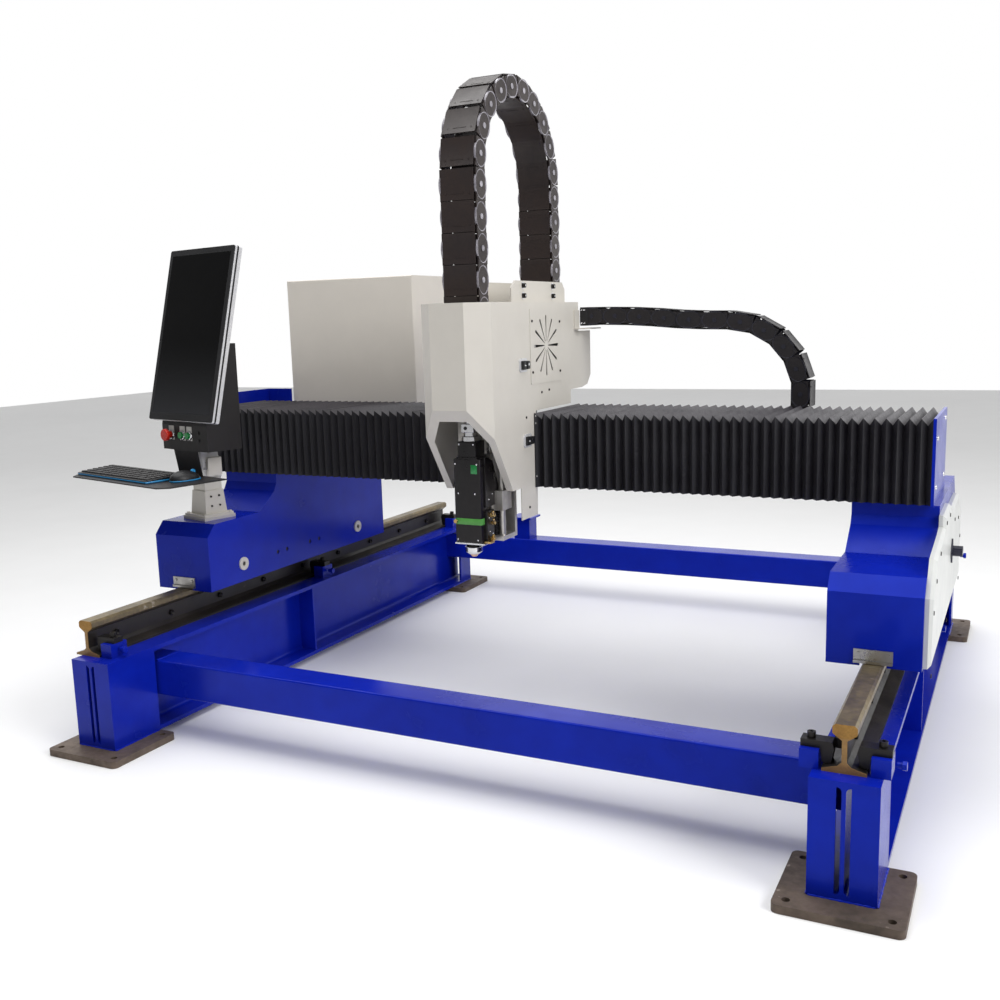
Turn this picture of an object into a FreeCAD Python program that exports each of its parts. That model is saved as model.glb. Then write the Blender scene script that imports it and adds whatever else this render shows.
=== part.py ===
import FreeCAD, Part
import math
import os

from FreeCAD import Vector

# A gantry laser cutter on crane rails.  Two H-beams on floor plates carry the rails, a crossbeam
# on two carriages rolls along them (Y), a cutting head travels along the crossbeam (X) and its
# slide moves up and down (Z).  All sizes are in millimetres, with +Z up and the operator at -Y.
# The pieces are laid out from the middle between the beams, from the beams' front end and from
# the floor; at the end everything is shifted so that the origin is the bottom centre of the box.

# ---- beams and floor plates
BEAM_X = 1061.0
BEAM_LENGTH = 2232.0
BEAM_WIDTH = 144.0
BEAM_HEIGHT = 264.0
BEAM_WEB = 9.0
BEAM_FLANGE = 13.0
BEAM_ROOT_RADIUS = 10.0
FLOOR_PLATE_THICKNESS = 20.0
FLOOR_PLATE_SIDE_OVERHANG = 62.0
FLOOR_PLATE_END_OVERHANG = 66.0
FLOOR_PLATE_LENGTH = 250.0
FLOOR_PLATE_CORNER = 16.0
FLOOR_PLATE_HOLE_RADIUS = 9.0
FLOOR_PLATE_HOLE_INSET = 28.0

# ---- end plates, stiffeners and cross tubes
END_PLATE_THICKNESS = 8.0
END_PLATE_SLIT = 11.0
SIDE_PLATE_THICKNESS = 8.0
SIDE_PLATE_LENGTH = 184.0
STIFFENER_THICKNESS = 8.0
STIFFENER_Y = 995.0
STIFFENER_INSET = 4.0
TUBE_DEPTH = 102.0
TUBE_HEIGHT = 110.0
TUBE_WALL = 6.0
FRONT_TUBE_Y = 192.0
FRONT_TUBE_Z = 129.0
REAR_TUBE_Z = 144.0
POST_X = -670.0
POST_SIZE = 76.0
POST_WALL = 5.0
POST_HEIGHT = 90.0
POST_CAP_THICKNESS = 8.0
POST_CAP_OVERHANG = 14.0

# ---- rails, clips and racks
LEFT_RAIL_X = -1110.0
RIGHT_RAIL_X = 1054.0
RAIL_HEIGHT = 107.0
RAIL_FOOT = 92.0
RAIL_HEAD = 51.0
RAIL_WEB = 10.9
RAIL_HEAD_DEPTH = 28.0
RAIL_FOOT_EDGE = 6.0
RAIL_FOOT_DEPTH = 18.0
RAIL_END_RECESS = 41.0
CLIP_END_Y = 75.0
CLIP_MIDDLE_Y = 1130.0
CLIP_BLOCK_LENGTH = 62.0
CLIP_BLOCK_WIDTH = 40.0
CLIP_BLOCK_HEIGHT = 42.0
CLIP_BLOCK_GAP = 7.0
CLIP_WIDTH = 34.0
CLIP_THICKNESS = 16.0
CLIP_TOE = 9.0
CLIP_BOLT_RADIUS = 6.0
CLIP_BOLT_HEAD_RADIUS = 9.0
CLIP_BOLT_HEAD_HEIGHT = 13.0
CLIP_BOLT_SOCKET_RADIUS = 4.5
CLIP_BOLT_SOCKET_DEPTH = 6.0
GEAR_MODULE = 3.0
RACK_HEIGHT = 22.0
RACK_THICKNESS = 22.0
RACK_END_RECESS = 60.0
RACK_BOTTOM = 30.0

# ---- gantry carriages and track wheels
CARRIAGE_WIDTH = 222.0
CARRIAGE_FRONT = 465.0
CARRIAGE_REAR = 1509.0
CARRIAGE_CLEARANCE = 7.0
CARRIAGE_WALL = 8.0
CARRIAGE_FACE = 180.0
CARRIAGE_CHAMFER = 37.0
CARRIAGE_SHELF = 604.0
CARRIAGE_SLOPE_START = 734.0
CARRIAGE_NECK = 832.0
CARRIAGE_NECK_HEIGHT = 690.0
CARRIAGE_TOP_REAR = 1392.0
RAIL_NOTCH_CLEARANCE = 6.0
WHEEL_RADIUS = 54.0
WHEEL_FLANGE_HEIGHT = 10.0
WHEEL_FLANGE_WIDTH = 11.0
WHEEL_GAUGE_CLEARANCE = 2.5
WHEEL_BORE_RADIUS = 15.0
WHEEL_HUB_CLEARANCE = 14.0
WHEEL_RUNNING_CLEARANCE = 0.05
FRONT_AXLE_Y = 630.0
REAR_AXLE_Y = 1318.0
AXLE_CAP_RADIUS = 22.0
AXLE_CAP_THICKNESS = 5.0
AXLE_RECESS_RADIUS = 9.0
AXLE_RECESS_DEPTH = 4.0
SIDE_HOLE_RADIUS = 7.0
SIDE_HOLE_YS = (818.0, 870.0, 1007.0, 1064.0)
SIDE_HOLE_Z = 446.0
WIPER_WIDTH = 91.0
WIPER_HEIGHT = 34.0
WIPER_THICKNESS = 4.0
WIPER_SCREW_RADIUS = 4.5
WIPER_SCREW_HEIGHT = 3.0
WIPER_SCREW_INSET = 11.0
WIPER_RAIL_GAP = 1.5

# ---- gantry drives
PINION_TEETH = 20
PINION_Y = 974.0
PINION_FACE = 18.0
BACKLASH_SHIFT = 0.4
DRIVE_SHAFT_RADIUS = 11.0
GEARBOX_SIZE = 76.0
GEARBOX_HEIGHT = 60.0
DRIVE_MOTOR_SIZE = 64.0
DRIVE_MOTOR_HEIGHT = 90.0
DRIVE_PLATE_THICKNESS = 12.0
DRIVE_PLATE_DEPTH = 150.0

# ---- crossbeam, its guides and its bellows
CROSSBEAM_LEFT = -1282.0
CROSSBEAM_RIGHT = 1144.0
CROSSBEAM_FRONT = 870.0
CROSSBEAM_REAR = 1150.0
CROSSBEAM_BOTTOM = 722.0
CROSSBEAM_TOP = 902.0
CROSSBEAM_WALL = 10.0
BEAM_END_THICKNESS = 8.0
LEFT_END_TOP = 996.0
GUIDE_ZS = (748.0, 888.0)
GUIDE_WIDTH = 20.0
GUIDE_HEIGHT = 18.0
GUIDE_WAIST = 3.0
X_RACK_Z = 840.0
X_RACK_THICKNESS = 16.0
BELLOWS_FRONT = 797.0
BELLOWS_REAR = 1157.0
BELLOWS_BOTTOM = 726.0
BELLOWS_TOP = 954.0
BELLOWS_DEPTH = 26.0
BELLOWS_HEAD_GAP = 2.0
BELLOWS_PITCH = 29.0
BELLOWS_FOLD = 9.0

# ---- grey side cover on the right carriage
COVER_THICKNESS = 18.0
COVER_EDGE = 8.0
COVER_SHEET = 2.0
COVER_FRONT_INSET = 14.0
COVER_TOP = 700.0
COVER_NECK_FRONT = 812.0
COVER_NECK_REAR = 1010.0
COVER_SHOULDER = 640.0
KNOB_RADIUS = 15.0
KNOB_LENGTH = 26.0
KNOB_Y = 1062.0
KNOB_Z = 556.0
KNOB_PLATE = 70.0

# ---- cabinet
CABINET_LEFT = -1176.0
CABINET_RIGHT = -628.0
CABINET_FRONT = 1192.0
CABINET_DEPTH = 300.0
CABINET_BOTTOM = 742.0
CABINET_TOP = 1399.0
CABINET_SHEET = 3.0
CABINET_LIP = 22.0
DOOR_THICKNESS = 18.0
DOOR_GAP = 3.0
DOOR_HINGE_RADIUS = 5.0
BRACKET_THICKNESS = 8.0
BRACKET_SHELF = 10.0

# ---- cable chains
X_CHAIN_WIDTH = 100.0
X_CHAIN_HEIGHT = 60.0
X_CHAIN_RADIUS = 228.0
X_CHAIN_FRONT = 1166.0
X_CHAIN_CENTRE_Z = 986.0
X_CHAIN_BEND_X = 512.0
X_CHAIN_FIXED_X = 100.0
X_CHAIN_END = 40.0
X_CHAIN_RISE = 24.0
BRACKET_SHEET = 4.0
TRAY_THICKNESS = 3.5
TRAY_LIP = 24.0
TRAY_GAP = 0.6
TRAY_LEFT = 60.0
Z_CHAIN_LEFT = -141.0
Z_CHAIN_WIDTH = 117.0
Z_CHAIN_HEIGHT = 70.0
Z_CHAIN_RADIUS = 257.0
Z_CHAIN_FRONT = 539.0
Z_CHAIN_CENTRE_Z = 1649.0
Z_CHAIN_LOWER_END = 1130.0
Z_CHAIN_SEAT = 1348.0

# ---- head carriage
HEAD_LEFT = -205.0
HEAD_RIGHT = 18.0
HEAD_FRONT = 472.0
HEAD_CHAMFER = 57.0
HEAD_TOP = 1284.0
HEAD_SHEET = 3.0
HEAD_FACE_BOTTOM = 987.0
HEAD_SIDE_CORNER = 902.0
HEAD_SLANT_Y = 641.0
HEAD_SLANT_Z = 738.0
HEAD_SKIRT_Y = 698.0
HEAD_SKIRT_Z = 640.0
HEAD_SKIRT_REAR = 812.0
HEAD_BACK_Y = 1090.0
HEAD_BACK_LOW = 1005.0
HEAD_BACK_HIGH = 1191.0
HEAD_BACK_STEP = 1164.0
HEAD_REAR = 1267.0
HEAD_RETURN = 22.0
HEAD_BEAM_GAP = 6.0
CHAIN_OPENING_GAP = 6.0
VENT_FRONT = 780.0
VENT_REAR = 1012.0
VENT_BOTTOM = 1040.0
VENT_TOP = 1266.0
VENT_THICKNESS = 2.0
VENT_SLOTS = 12
VENT_SLOT_INNER = 14.0
VENT_SLOT_OUTER = 92.0
VENT_SLOT_WIDTH = 9.0
LATCH_LENGTH = 54.0
LATCH_HEIGHT = 40.0
LATCH_PROUD = 16.0
LATCH_PLACES = ((725.0, 1101.0), (744.0, 876.0))
SADDLE_THICKNESS = 14.0
SADDLE_REAR = 828.0
SADDLE_BOTTOM = 728.0
SADDLE_TOP = 1270.0
SADDLE_SIDE_GAP = 0.3
BLOCK_LENGTH = 60.0
BLOCK_HEIGHT = 44.0
BLOCK_CLEARANCE = 0.5
BLOCK_INSET = 12.0
X_MOTOR_SIZE = 76.0
X_MOTOR_LENGTH = 96.0
X_MOTOR_X = -60.0
X_PINION_FACE = 14.0

# ---- Z slide and cutting head
Z_PLATE_LEFT = -112.0
Z_PLATE_RIGHT = -8.0
Z_PLATE_FRONT = 700.0
Z_PLATE_THICKNESS = 14.0
Z_FOOT_Z = 592.0
Z_FOOT_THICKNESS = 13.0
Z_FOOT_FRONT = 620.0
Z_HEAD_Z = 1060.0
ROD_RADIUS = 10.0
ROD_Y = 648.0
ROD_INSET = 16.0
ROD_CLEARANCE = 0.05
SCREW_RADIUS = 8.0
SCREW_HOLE_CLEARANCE = 3.0
Z_MOTOR_SIZE = 76.0
Z_MOTOR_HEIGHT = 110.0
SLIDE_BOTTOM = 682.0
SLIDE_HEIGHT = 58.0
SLIDE_FRONT = 618.0
SLIDE_REAR = 680.0
LASER_LEFT = -126.0
LASER_WIDTH = 88.0
LASER_FRONT = 540.0
LASER_DEPTH = 66.0
LASER_BOTTOM = 592.0
LASER_HEIGHT = 250.0
LASER_CORNER = 6.0
LASER_MOUNT_TOP = 850.0
COLLIMATOR_WIDTH = 58.0
COLLIMATOR_HEIGHT = 50.0
CONNECTOR_RADIUS = 22.0
CONNECTOR_HEIGHT = 62.0
NOZZLE_RADIUS = 26.0
NOZZLE_HEIGHT = 41.0
NOZZLE_TIP_RADIUS = 8.0
NOZZLE_BORE_RADIUS = 1.5

# ---- operator console, laid out from its swivel axis and turned as it stands
CONSOLE_X = -1104.0
CONSOLE_Y = 600.0
CONSOLE_YAW = -14.0
STAND_BASE = 122.0
STAND_BASE_THICKNESS = 18.0
STAND_FOOT = 84.0
STAND_NECK = 72.0
STAND_TAPER_TOP = 700.0
STAND_TOP = 731.0
STAND_BOLT_INSET = 12.0
STAND_BOLT_RADIUS = 5.0
SWIVEL_PIN_RADIUS = 18.0
SWIVEL_PIN_LENGTH = 30.0
SWIVEL_CLEARANCE = 0.05
SWIVEL_DISC_RADIUS = 46.0
SWIVEL_DISC_THICKNESS = 11.0
SWIVEL_GAP = 0.3
BOX_LEFT = -92.0
BOX_RIGHT = 158.0
BOX_FRONT = -95.0
BOX_REAR = 36.0
BOX_BOTTOM = 843.0
BOX_PANEL_TOP = 925.0
BOX_TOP = 1184.0
BOX_WALL = 3.0
MONITOR_TILT = 13.8
MONITOR_WIDTH = 352.0
MONITOR_HEIGHT = 564.0
MONITOR_THICKNESS = 30.0
MONITOR_CENTRE_X = 48.0
MONITOR_CENTRE_Z = 1209.0
MONITOR_RIM = 5.0
SCREEN_THICKNESS = 4.0
TRAY_X0 = -350.0
TRAY_X1 = 205.0
TRAY_Y0 = -302.0
TRAY_Y1 = -66.0
TRAY_TOP = 759.0
CONSOLE_TRAY_THICKNESS = 4.0
TRAY_CORNER = 30.0
ARM_WIDTH = 130.0
ARM_X = 28.0
KEYBOARD_X = -133.0
KEYBOARD_Y = -205.0
KEYBOARD_WIDTH = 416.0
KEYBOARD_DEPTH = 140.0
KEYBOARD_FRONT_HEIGHT = 10.0
KEYBOARD_REAR_HEIGHT = 22.0
MOUSE_X = 118.0
MOUSE_Y = -160.0
MOUSE_WIDTH = 64.0
MOUSE_LENGTH = 108.0
MOUSE_HEIGHT = 34.0
BUTTON_Z = 893.0
BUTTON_XS = (-38.0, 24.0, 62.0)
BUTTON_RADIUS = 11.0
BUTTON_PROUD = 9.0
BUTTON_TRAVEL = 4.0
BUTTON_COLLAR_RADIUS = 15.0
BUTTON_COLLAR_THICKNESS = 5.0
BUTTON_STEM = 24.0
ESTOP_HEAD_RADIUS = 20.0
ESTOP_HEAD_THICKNESS = 14.0
ESTOP_STEM_RADIUS = 11.0
ESTOP_STAND_OFF = 14.0
BUTTON_CLEARANCE = 0.3

UP = Vector(0, 0, 1)
ALONG_X = Vector(1, 0, 0)
ALONG_Y = Vector(0, 1, 0)

beam_bottom = FLOOR_PLATE_THICKNESS
beam_top = beam_bottom + BEAM_HEIGHT
rail_top = beam_top + RAIL_HEIGHT
carriage_bottom = rail_top - CARRIAGE_CLEARANCE
axle_z = rail_top + WHEEL_RADIUS
rail_start = RAIL_END_RECESS
rail_end = BEAM_LENGTH - RAIL_END_RECESS
pitch = math.pi * GEAR_MODULE
pinion_pitch_radius = GEAR_MODULE * PINION_TEETH / 2


# ---------------------------------------------------------------- shape helpers
def box(x0, x1, y0, y1, z0, z1):
    return Part.makeBox(x1 - x0, y1 - y0, z1 - z0, Vector(x0, y0, z0))


def cylinder(radius, height, base, axis):
    return Part.makeCylinder(radius, height, base, axis)


def prism(points, sweep):
    wire = Part.makePolygon(points + [points[0]])
    return Part.Face(wire).extrude(sweep)


def prism_yz(outline, x0, x1):
    return prism([Vector(x0, y, z) for y, z in outline], Vector(x1 - x0, 0, 0))


def prism_xz(outline, y0, y1):
    return prism([Vector(x, y0, z) for x, z in outline], Vector(0, y1 - y0, 0))


def prism_xy(outline, z0, z1):
    return prism([Vector(x, y, z0) for x, y in outline], Vector(0, 0, z1 - z0))


def inset(outline, wall):
    """The same closed outline moved inwards by the wall (outwards if negative)."""
    area = sum(a[0] * b[1] - b[0] * a[1] for a, b in zip(outline, outline[1:] + outline[:1]))
    turn = 1 if area > 0 else -1
    moved = []
    count = len(outline)
    for i in range(count):
        (ax, ay), (bx, by), (cx, cy) = outline[i - 1], outline[i], outline[(i + 1) % count]
        ux, uy = bx - ax, by - ay
        vx, vy = cx - bx, cy - by
        ul, vl = math.hypot(ux, uy), math.hypot(vx, vy)
        nx, ny = -uy / ul * turn, ux / ul * turn
        mx, my = -vy / vl * turn, vx / vl * turn
        scale = wall / (1 + nx * mx + ny * my)
        moved.append((bx + (nx + mx) * scale, by + (ny + my) * scale))
    return moved


def turned(shape, angle, x, y):
    """A copy of a console piece, drawn about its swivel axis, put where it stands."""
    copy = shape.copy()
    copy.rotate(Vector(0, 0, 0), UP, angle)
    copy.translate(Vector(x, y, 0))
    return copy


def fillet_edges(shape, radius, wanted):
    edges = [e for e in shape.Edges if wanted(e)]
    return shape.makeFillet(radius, edges)


def upright(edge):
    low, high = edge.Vertexes[0].Point, edge.Vertexes[-1].Point
    return abs(low.x - high.x) < 1e-6 and abs(low.y - high.y) < 1e-6 and abs(low.z - high.z) > 1e-6


def group(shapes):
    return Part.makeCompound(shapes)


def socket_screw(radius, head_radius, head_height, shank, base, axis, socket_radius, socket_depth):
    """A cap screw whose head stands on base and points along axis."""
    head = cylinder(head_radius, head_height, base, axis)
    body = cylinder(radius, shank, base - axis * shank, axis)
    top = base + axis * (head_height - socket_depth)
    return head.fuse(body).cut(hexagon(socket_radius, socket_depth, top, axis)).removeSplitter()


def hexagon(radius, height, base, axis):
    side = ALONG_X if abs(axis.x) < 0.5 else ALONG_Y
    other = axis.cross(side)
    points = []
    for i in range(6):
        angle = math.radians(60 * i)
        points.append(base + side * (radius * math.cos(angle)) + other * (radius * math.sin(angle)))
    return prism(points, axis * height)


# ---------------------------------------------------------------- root: the track
def h_beam(centre):
    half = BEAM_WIDTH / 2
    beam = box(centre - half, centre + half, 0, BEAM_LENGTH, beam_bottom, beam_top)
    bay_bottom = beam_bottom + BEAM_FLANGE
    bay_top = beam_top - BEAM_FLANGE
    for side in (-1, 1):
        inner = centre + side * BEAM_WEB / 2
        outer = centre + side * (half + 1)
        bay = box(min(inner, outer), max(inner, outer), -1, BEAM_LENGTH + 1, bay_bottom, bay_top)
        root = [e for e in bay.Edges if abs(e.CenterOfMass.x - inner) < 0.01 and e.Length > BEAM_LENGTH]
        beam = beam.cut(bay.makeFillet(BEAM_ROOT_RADIUS, root))
    return beam


def beam_stiffeners(centre, inner_side):
    """End plates in front of and behind the web, side plates and the middle stiffener."""
    half = BEAM_WIDTH / 2
    low = beam_bottom + BEAM_FLANGE
    high = beam_top - BEAM_FLANGE
    plates = []
    for side in (-1, 1):
        near = centre + side * (BEAM_WEB / 2 + END_PLATE_SLIT)
        far = centre + side * (half - SIDE_PLATE_THICKNESS)
        x0, x1 = min(near, far), max(near, far)
        rear_high = REAR_TUBE_Z if side == inner_side else high
        rear = BEAM_LENGTH - END_PLATE_THICKNESS
        plates.append(box(x0, x1, 0, END_PLATE_THICKNESS, low, high))
        plates.append(box(x0, x1, rear, BEAM_LENGTH, low, rear_high))
        x0 = centre + side * (half - SIDE_PLATE_THICKNESS / 2) - SIDE_PLATE_THICKNESS / 2
        x1 = x0 + SIDE_PLATE_THICKNESS
        plates.append(box(x0, x1, 0, SIDE_PLATE_LENGTH, low, high))
        rear = BEAM_LENGTH - SIDE_PLATE_LENGTH / 2
        plates.append(box(x0, x1, rear, BEAM_LENGTH, low, rear_high))
        near = centre + side * BEAM_WEB / 2
        far = centre + side * (half - STIFFENER_INSET)
        root = BEAM_ROOT_RADIUS
        outline = [(near, low + root), (near + side * root, low), (far, low), (far, high),
                   (near + side * root, high), (near, high - root)]
        plates.append(prism_xz(outline, STIFFENER_Y, STIFFENER_Y + STIFFENER_THICKNESS))
    return plates


def cross_tube(y, z, ends):
    tube = box(-ends, ends, y, y + TUBE_DEPTH, z, z + TUBE_HEIGHT)
    tube = fillet_edges(tube, TUBE_WALL, lambda e: e.Length > ends)
    hollow = box(-ends - 1, ends + 1, y + TUBE_WALL, y + TUBE_DEPTH - TUBE_WALL,
                 z + TUBE_WALL, z + TUBE_HEIGHT - TUBE_WALL)
    return tube.cut(hollow)


def floor_plate(centre, y):
    half = BEAM_WIDTH / 2 + FLOOR_PLATE_SIDE_OVERHANG
    plate = box(centre - half, centre + half, y, y + FLOOR_PLATE_LENGTH, 0, FLOOR_PLATE_THICKNESS)
    plate = fillet_edges(plate, FLOOR_PLATE_CORNER, upright)
    for x in (centre - half + FLOOR_PLATE_HOLE_INSET, centre + half - FLOOR_PLATE_HOLE_INSET):
        for hole_y in (y + FLOOR_PLATE_HOLE_INSET, y + FLOOR_PLATE_LENGTH - FLOOR_PLATE_HOLE_INSET):
            plate = plate.cut(cylinder(FLOOR_PLATE_HOLE_RADIUS, FLOOR_PLATE_THICKNESS + 2,
                                       Vector(x, hole_y, -1), UP))
    return plate


def cable_post():
    """A short square post for a cable, capped and welded on the rear cross tube."""
    half = POST_SIZE / 2
    middle = BEAM_LENGTH - TUBE_DEPTH / 2
    foot = REAR_TUBE_Z + TUBE_HEIGHT
    post = box(POST_X - half, POST_X + half, middle - half, middle + half, foot, foot + POST_HEIGHT)
    inner = half - POST_WALL
    post = post.cut(box(POST_X - inner, POST_X + inner, middle - inner, middle + inner,
                        foot - 1, foot + POST_HEIGHT + 1))
    cap = half + POST_CAP_OVERHANG
    top = foot + POST_HEIGHT
    plate = box(POST_X - cap, POST_X + cap, middle - cap, middle + cap, top, top + POST_CAP_THICKNESS)
    return post.fuse(plate).removeSplitter()


def rail_outline(centre):
    foot, head, web = RAIL_FOOT / 2, RAIL_HEAD / 2, RAIL_WEB / 2
    base = beam_top
    half = [(foot, base), (foot, base + RAIL_FOOT_EDGE), (web + 9, base + RAIL_FOOT_DEPTH - 3),
            (web, base + RAIL_FOOT_DEPTH + 6), (web, rail_top - RAIL_HEAD_DEPTH - 7),
            (head - 2, rail_top - RAIL_HEAD_DEPTH + 6), (head, rail_top - RAIL_HEAD_DEPTH + 9),
            (head, rail_top - 6), (head - 6, rail_top)]
    left = [(-x, z) for x, z in reversed(half)]
    return [(centre + x, z) for x, z in half + left]


def track_rail(centre):
    return prism_xz(rail_outline(centre), rail_start, rail_end)


def gear_flank(depth):
    """Half the tooth's width at a height above the pitch line, for 20 degree flanks."""
    return pitch / 4 - depth * math.tan(math.radians(20))


def rack_outline(length, thickness):
    """A straight rack: its back at 0, its pitch line at thickness, its teeth along the length."""
    tip = GEAR_MODULE
    root = -1.25 * GEAR_MODULE
    teeth = int(length / pitch)
    points = [(0.0, 0.0)]
    for i in range(teeth):
        middle = (i + 0.5) * pitch
        points.append((middle - gear_flank(root), thickness + root))
        points.append((middle - gear_flank(tip), thickness + tip))
        points.append((middle + gear_flank(tip), thickness + tip))
        points.append((middle + gear_flank(root), thickness + root))
    points.append((teeth * pitch, 0.0))
    points[1] = (0.0, thickness + root)
    points[-2] = (teeth * pitch, thickness + root)
    return points, teeth


def rack_start(length, start, mesh_at):
    """Where the first tooth space lies, so that a tooth of the rack sits at mesh_at."""
    phase = (mesh_at - start - pitch / 2) % pitch
    return start + phase


def pinion_outline(teeth, turn):
    """Gear teeth with straight flanks that taper like the rack's."""
    radius = GEAR_MODULE * teeth / 2
    levels = ((-1.25 * GEAR_MODULE, 0.62), (0.0, 0.235), (GEAR_MODULE * 0.9, 0.10))
    points = []
    for i in range(teeth):
        middle = 2 * math.pi * i / teeth + turn
        step = 2 * math.pi / teeth
        root, mean, tip = [(radius + depth, share * step) for depth, share in levels]
        half_root = 0.30 * step
        flanks = [(root[0], -half_root), (mean[0], -mean[1]), (tip[0], -tip[1]),
                  (tip[0], tip[1]), (mean[0], mean[1]), (root[0], half_root)]
        for r, offset in flanks:
            points.append((r * math.cos(middle + offset), r * math.sin(middle + offset)))
    return points


def track_rack(centre):
    """A rack screwed to the web of a rail, on the side that faces -X."""
    points, teeth = rack_outline(rail_end - rail_start - 2 * RACK_END_RECESS, RACK_THICKNESS)
    start = rack_start(teeth * pitch, rail_start + RACK_END_RECESS, PINION_Y)
    back = centre - RAIL_WEB / 2
    low = beam_top + RACK_BOTTOM
    outline = [(back - y, start + x) for x, y in points]
    return prism_xy(outline, low, low + RACK_HEIGHT)


def clip_places():
    """Rail centre, side and place along the beam of every clip; none is in a pinion's way."""
    last = BEAM_LENGTH - CLIP_END_Y
    places = []
    for y in (CLIP_END_Y, CLIP_MIDDLE_Y, last):
        places.append((LEFT_RAIL_X, -BEAM_X, 1, y))
        places.append((RIGHT_RAIL_X, BEAM_X, 1, y))
    for y in (CLIP_END_Y, last):
        places.append((RIGHT_RAIL_X, BEAM_X, -1, y))
    return places


def clip_span(rail, side):
    """Where the block's inner face and outer face lie in X."""
    inner = rail + side * (RAIL_FOOT / 2 + CLIP_BLOCK_GAP)
    return inner, inner + side * CLIP_BLOCK_WIDTH


def clip_block(rail, side, y):
    inner, outer = clip_span(rail, side)
    half = CLIP_BLOCK_LENGTH / 2
    block = box(min(inner, outer), max(inner, outer), y - half, y + half,
                beam_top, beam_top + CLIP_BLOCK_HEIGHT)
    middle = (inner + outer) / 2
    hole = cylinder(CLIP_BOLT_RADIUS, CLIP_BLOCK_HEIGHT, Vector(middle, y, beam_top + 6), UP)
    return block.cut(hole)


def rail_clip(rail, side, y):
    inner, outer = clip_span(rail, side)
    top = beam_top + CLIP_BLOCK_HEIGHT
    foot_top = beam_top + RAIL_FOOT_EDGE
    web_side = rail + side * (RAIL_WEB / 2 + 18)
    toe = rail + side * (RAIL_FOOT / 2 - 8)
    outline = [(outer, top), (inner - side * 1, top), (toe + side * 10, foot_top + 7),
               (toe + side * 2, foot_top + 2.2), (toe - side * CLIP_TOE, foot_top + 5.3),
               (web_side, top + 2), (web_side + side * 4, top + CLIP_THICKNESS),
               (outer, top + CLIP_THICKNESS)]
    half = CLIP_WIDTH / 2
    clip = prism_xz(outline, y - half, y + half)
    middle = (inner + outer) / 2
    slot = cylinder(CLIP_BOLT_RADIUS, CLIP_THICKNESS + 2, Vector(middle, y, top - 1), UP)
    return clip.cut(slot)


def clip_bolt(rail, side, y):
    inner, outer = clip_span(rail, side)
    top = beam_top + CLIP_BLOCK_HEIGHT + CLIP_THICKNESS
    base = Vector((inner + outer) / 2, y, top)
    return socket_screw(CLIP_BOLT_RADIUS, CLIP_BOLT_HEAD_RADIUS, CLIP_BOLT_HEAD_HEIGHT,
                        CLIP_THICKNESS + CLIP_BLOCK_HEIGHT - 6, base, UP,
                        CLIP_BOLT_SOCKET_RADIUS, CLIP_BOLT_SOCKET_DEPTH)


def track_nodes():
    tube_end = BEAM_X - BEAM_WEB / 2
    rear_tube = cross_tube(BEAM_LENGTH - TUBE_DEPTH, REAR_TUBE_Z, tube_end)
    plates = beam_stiffeners(-BEAM_X, 1) + beam_stiffeners(BEAM_X, -1)
    rear_plate = BEAM_LENGTH + FLOOR_PLATE_END_OVERHANG - FLOOR_PLATE_LENGTH
    floor_plates = []
    for centre in (-BEAM_X, BEAM_X):
        for y in (-FLOOR_PLATE_END_OVERHANG, rear_plate):
            floor_plates.append(floor_plate(centre, y))
    clips = [(rail, side, y) for rail, centre, side, y in clip_places()]
    return {
        "left_beam": h_beam(-BEAM_X),
        "right_beam": h_beam(BEAM_X),
        "beam_stiffeners": group(plates),
        "front_cross_tube": cross_tube(FRONT_TUBE_Y, FRONT_TUBE_Z, tube_end),
        "rear_cross_tube": rear_tube.fuse(cable_post()).removeSplitter(),
        "floor_plates": group(floor_plates),
        "left_rail": track_rail(LEFT_RAIL_X),
        "right_rail": track_rail(RIGHT_RAIL_X),
        "clip_blocks": group([clip_block(*place) for place in clips]),
        "rail_clips": group([rail_clip(*place) for place in clips]),
        "clip_bolts": group([clip_bolt(*place) for place in clips]),
        "track_racks": group([track_rack(LEFT_RAIL_X), track_rack(RIGHT_RAIL_X)]),
    }


# ---------------------------------------------------------------- gantry: carriages, wheels, drives
def carriage_profile():
    face = carriage_bottom + CARRIAGE_FACE
    rise = CARRIAGE_NECK - CARRIAGE_SLOPE_START
    neck = CARRIAGE_NECK_HEIGHT
    return [
        (CARRIAGE_FRONT, carriage_bottom), (CARRIAGE_FRONT, face),
        (CARRIAGE_FRONT + CARRIAGE_CHAMFER, CARRIAGE_SHELF), (CARRIAGE_SLOPE_START, CARRIAGE_SHELF),
        (CARRIAGE_SLOPE_START + rise * 0.85, neck - (neck - CARRIAGE_SHELF) * 0.3),
        (CARRIAGE_NECK, neck), (CARRIAGE_NECK, CROSSBEAM_BOTTOM), (CARRIAGE_TOP_REAR, CROSSBEAM_BOTTOM),
        (CARRIAGE_REAR, CARRIAGE_SHELF), (CARRIAGE_REAR, carriage_bottom),
    ]


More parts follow.
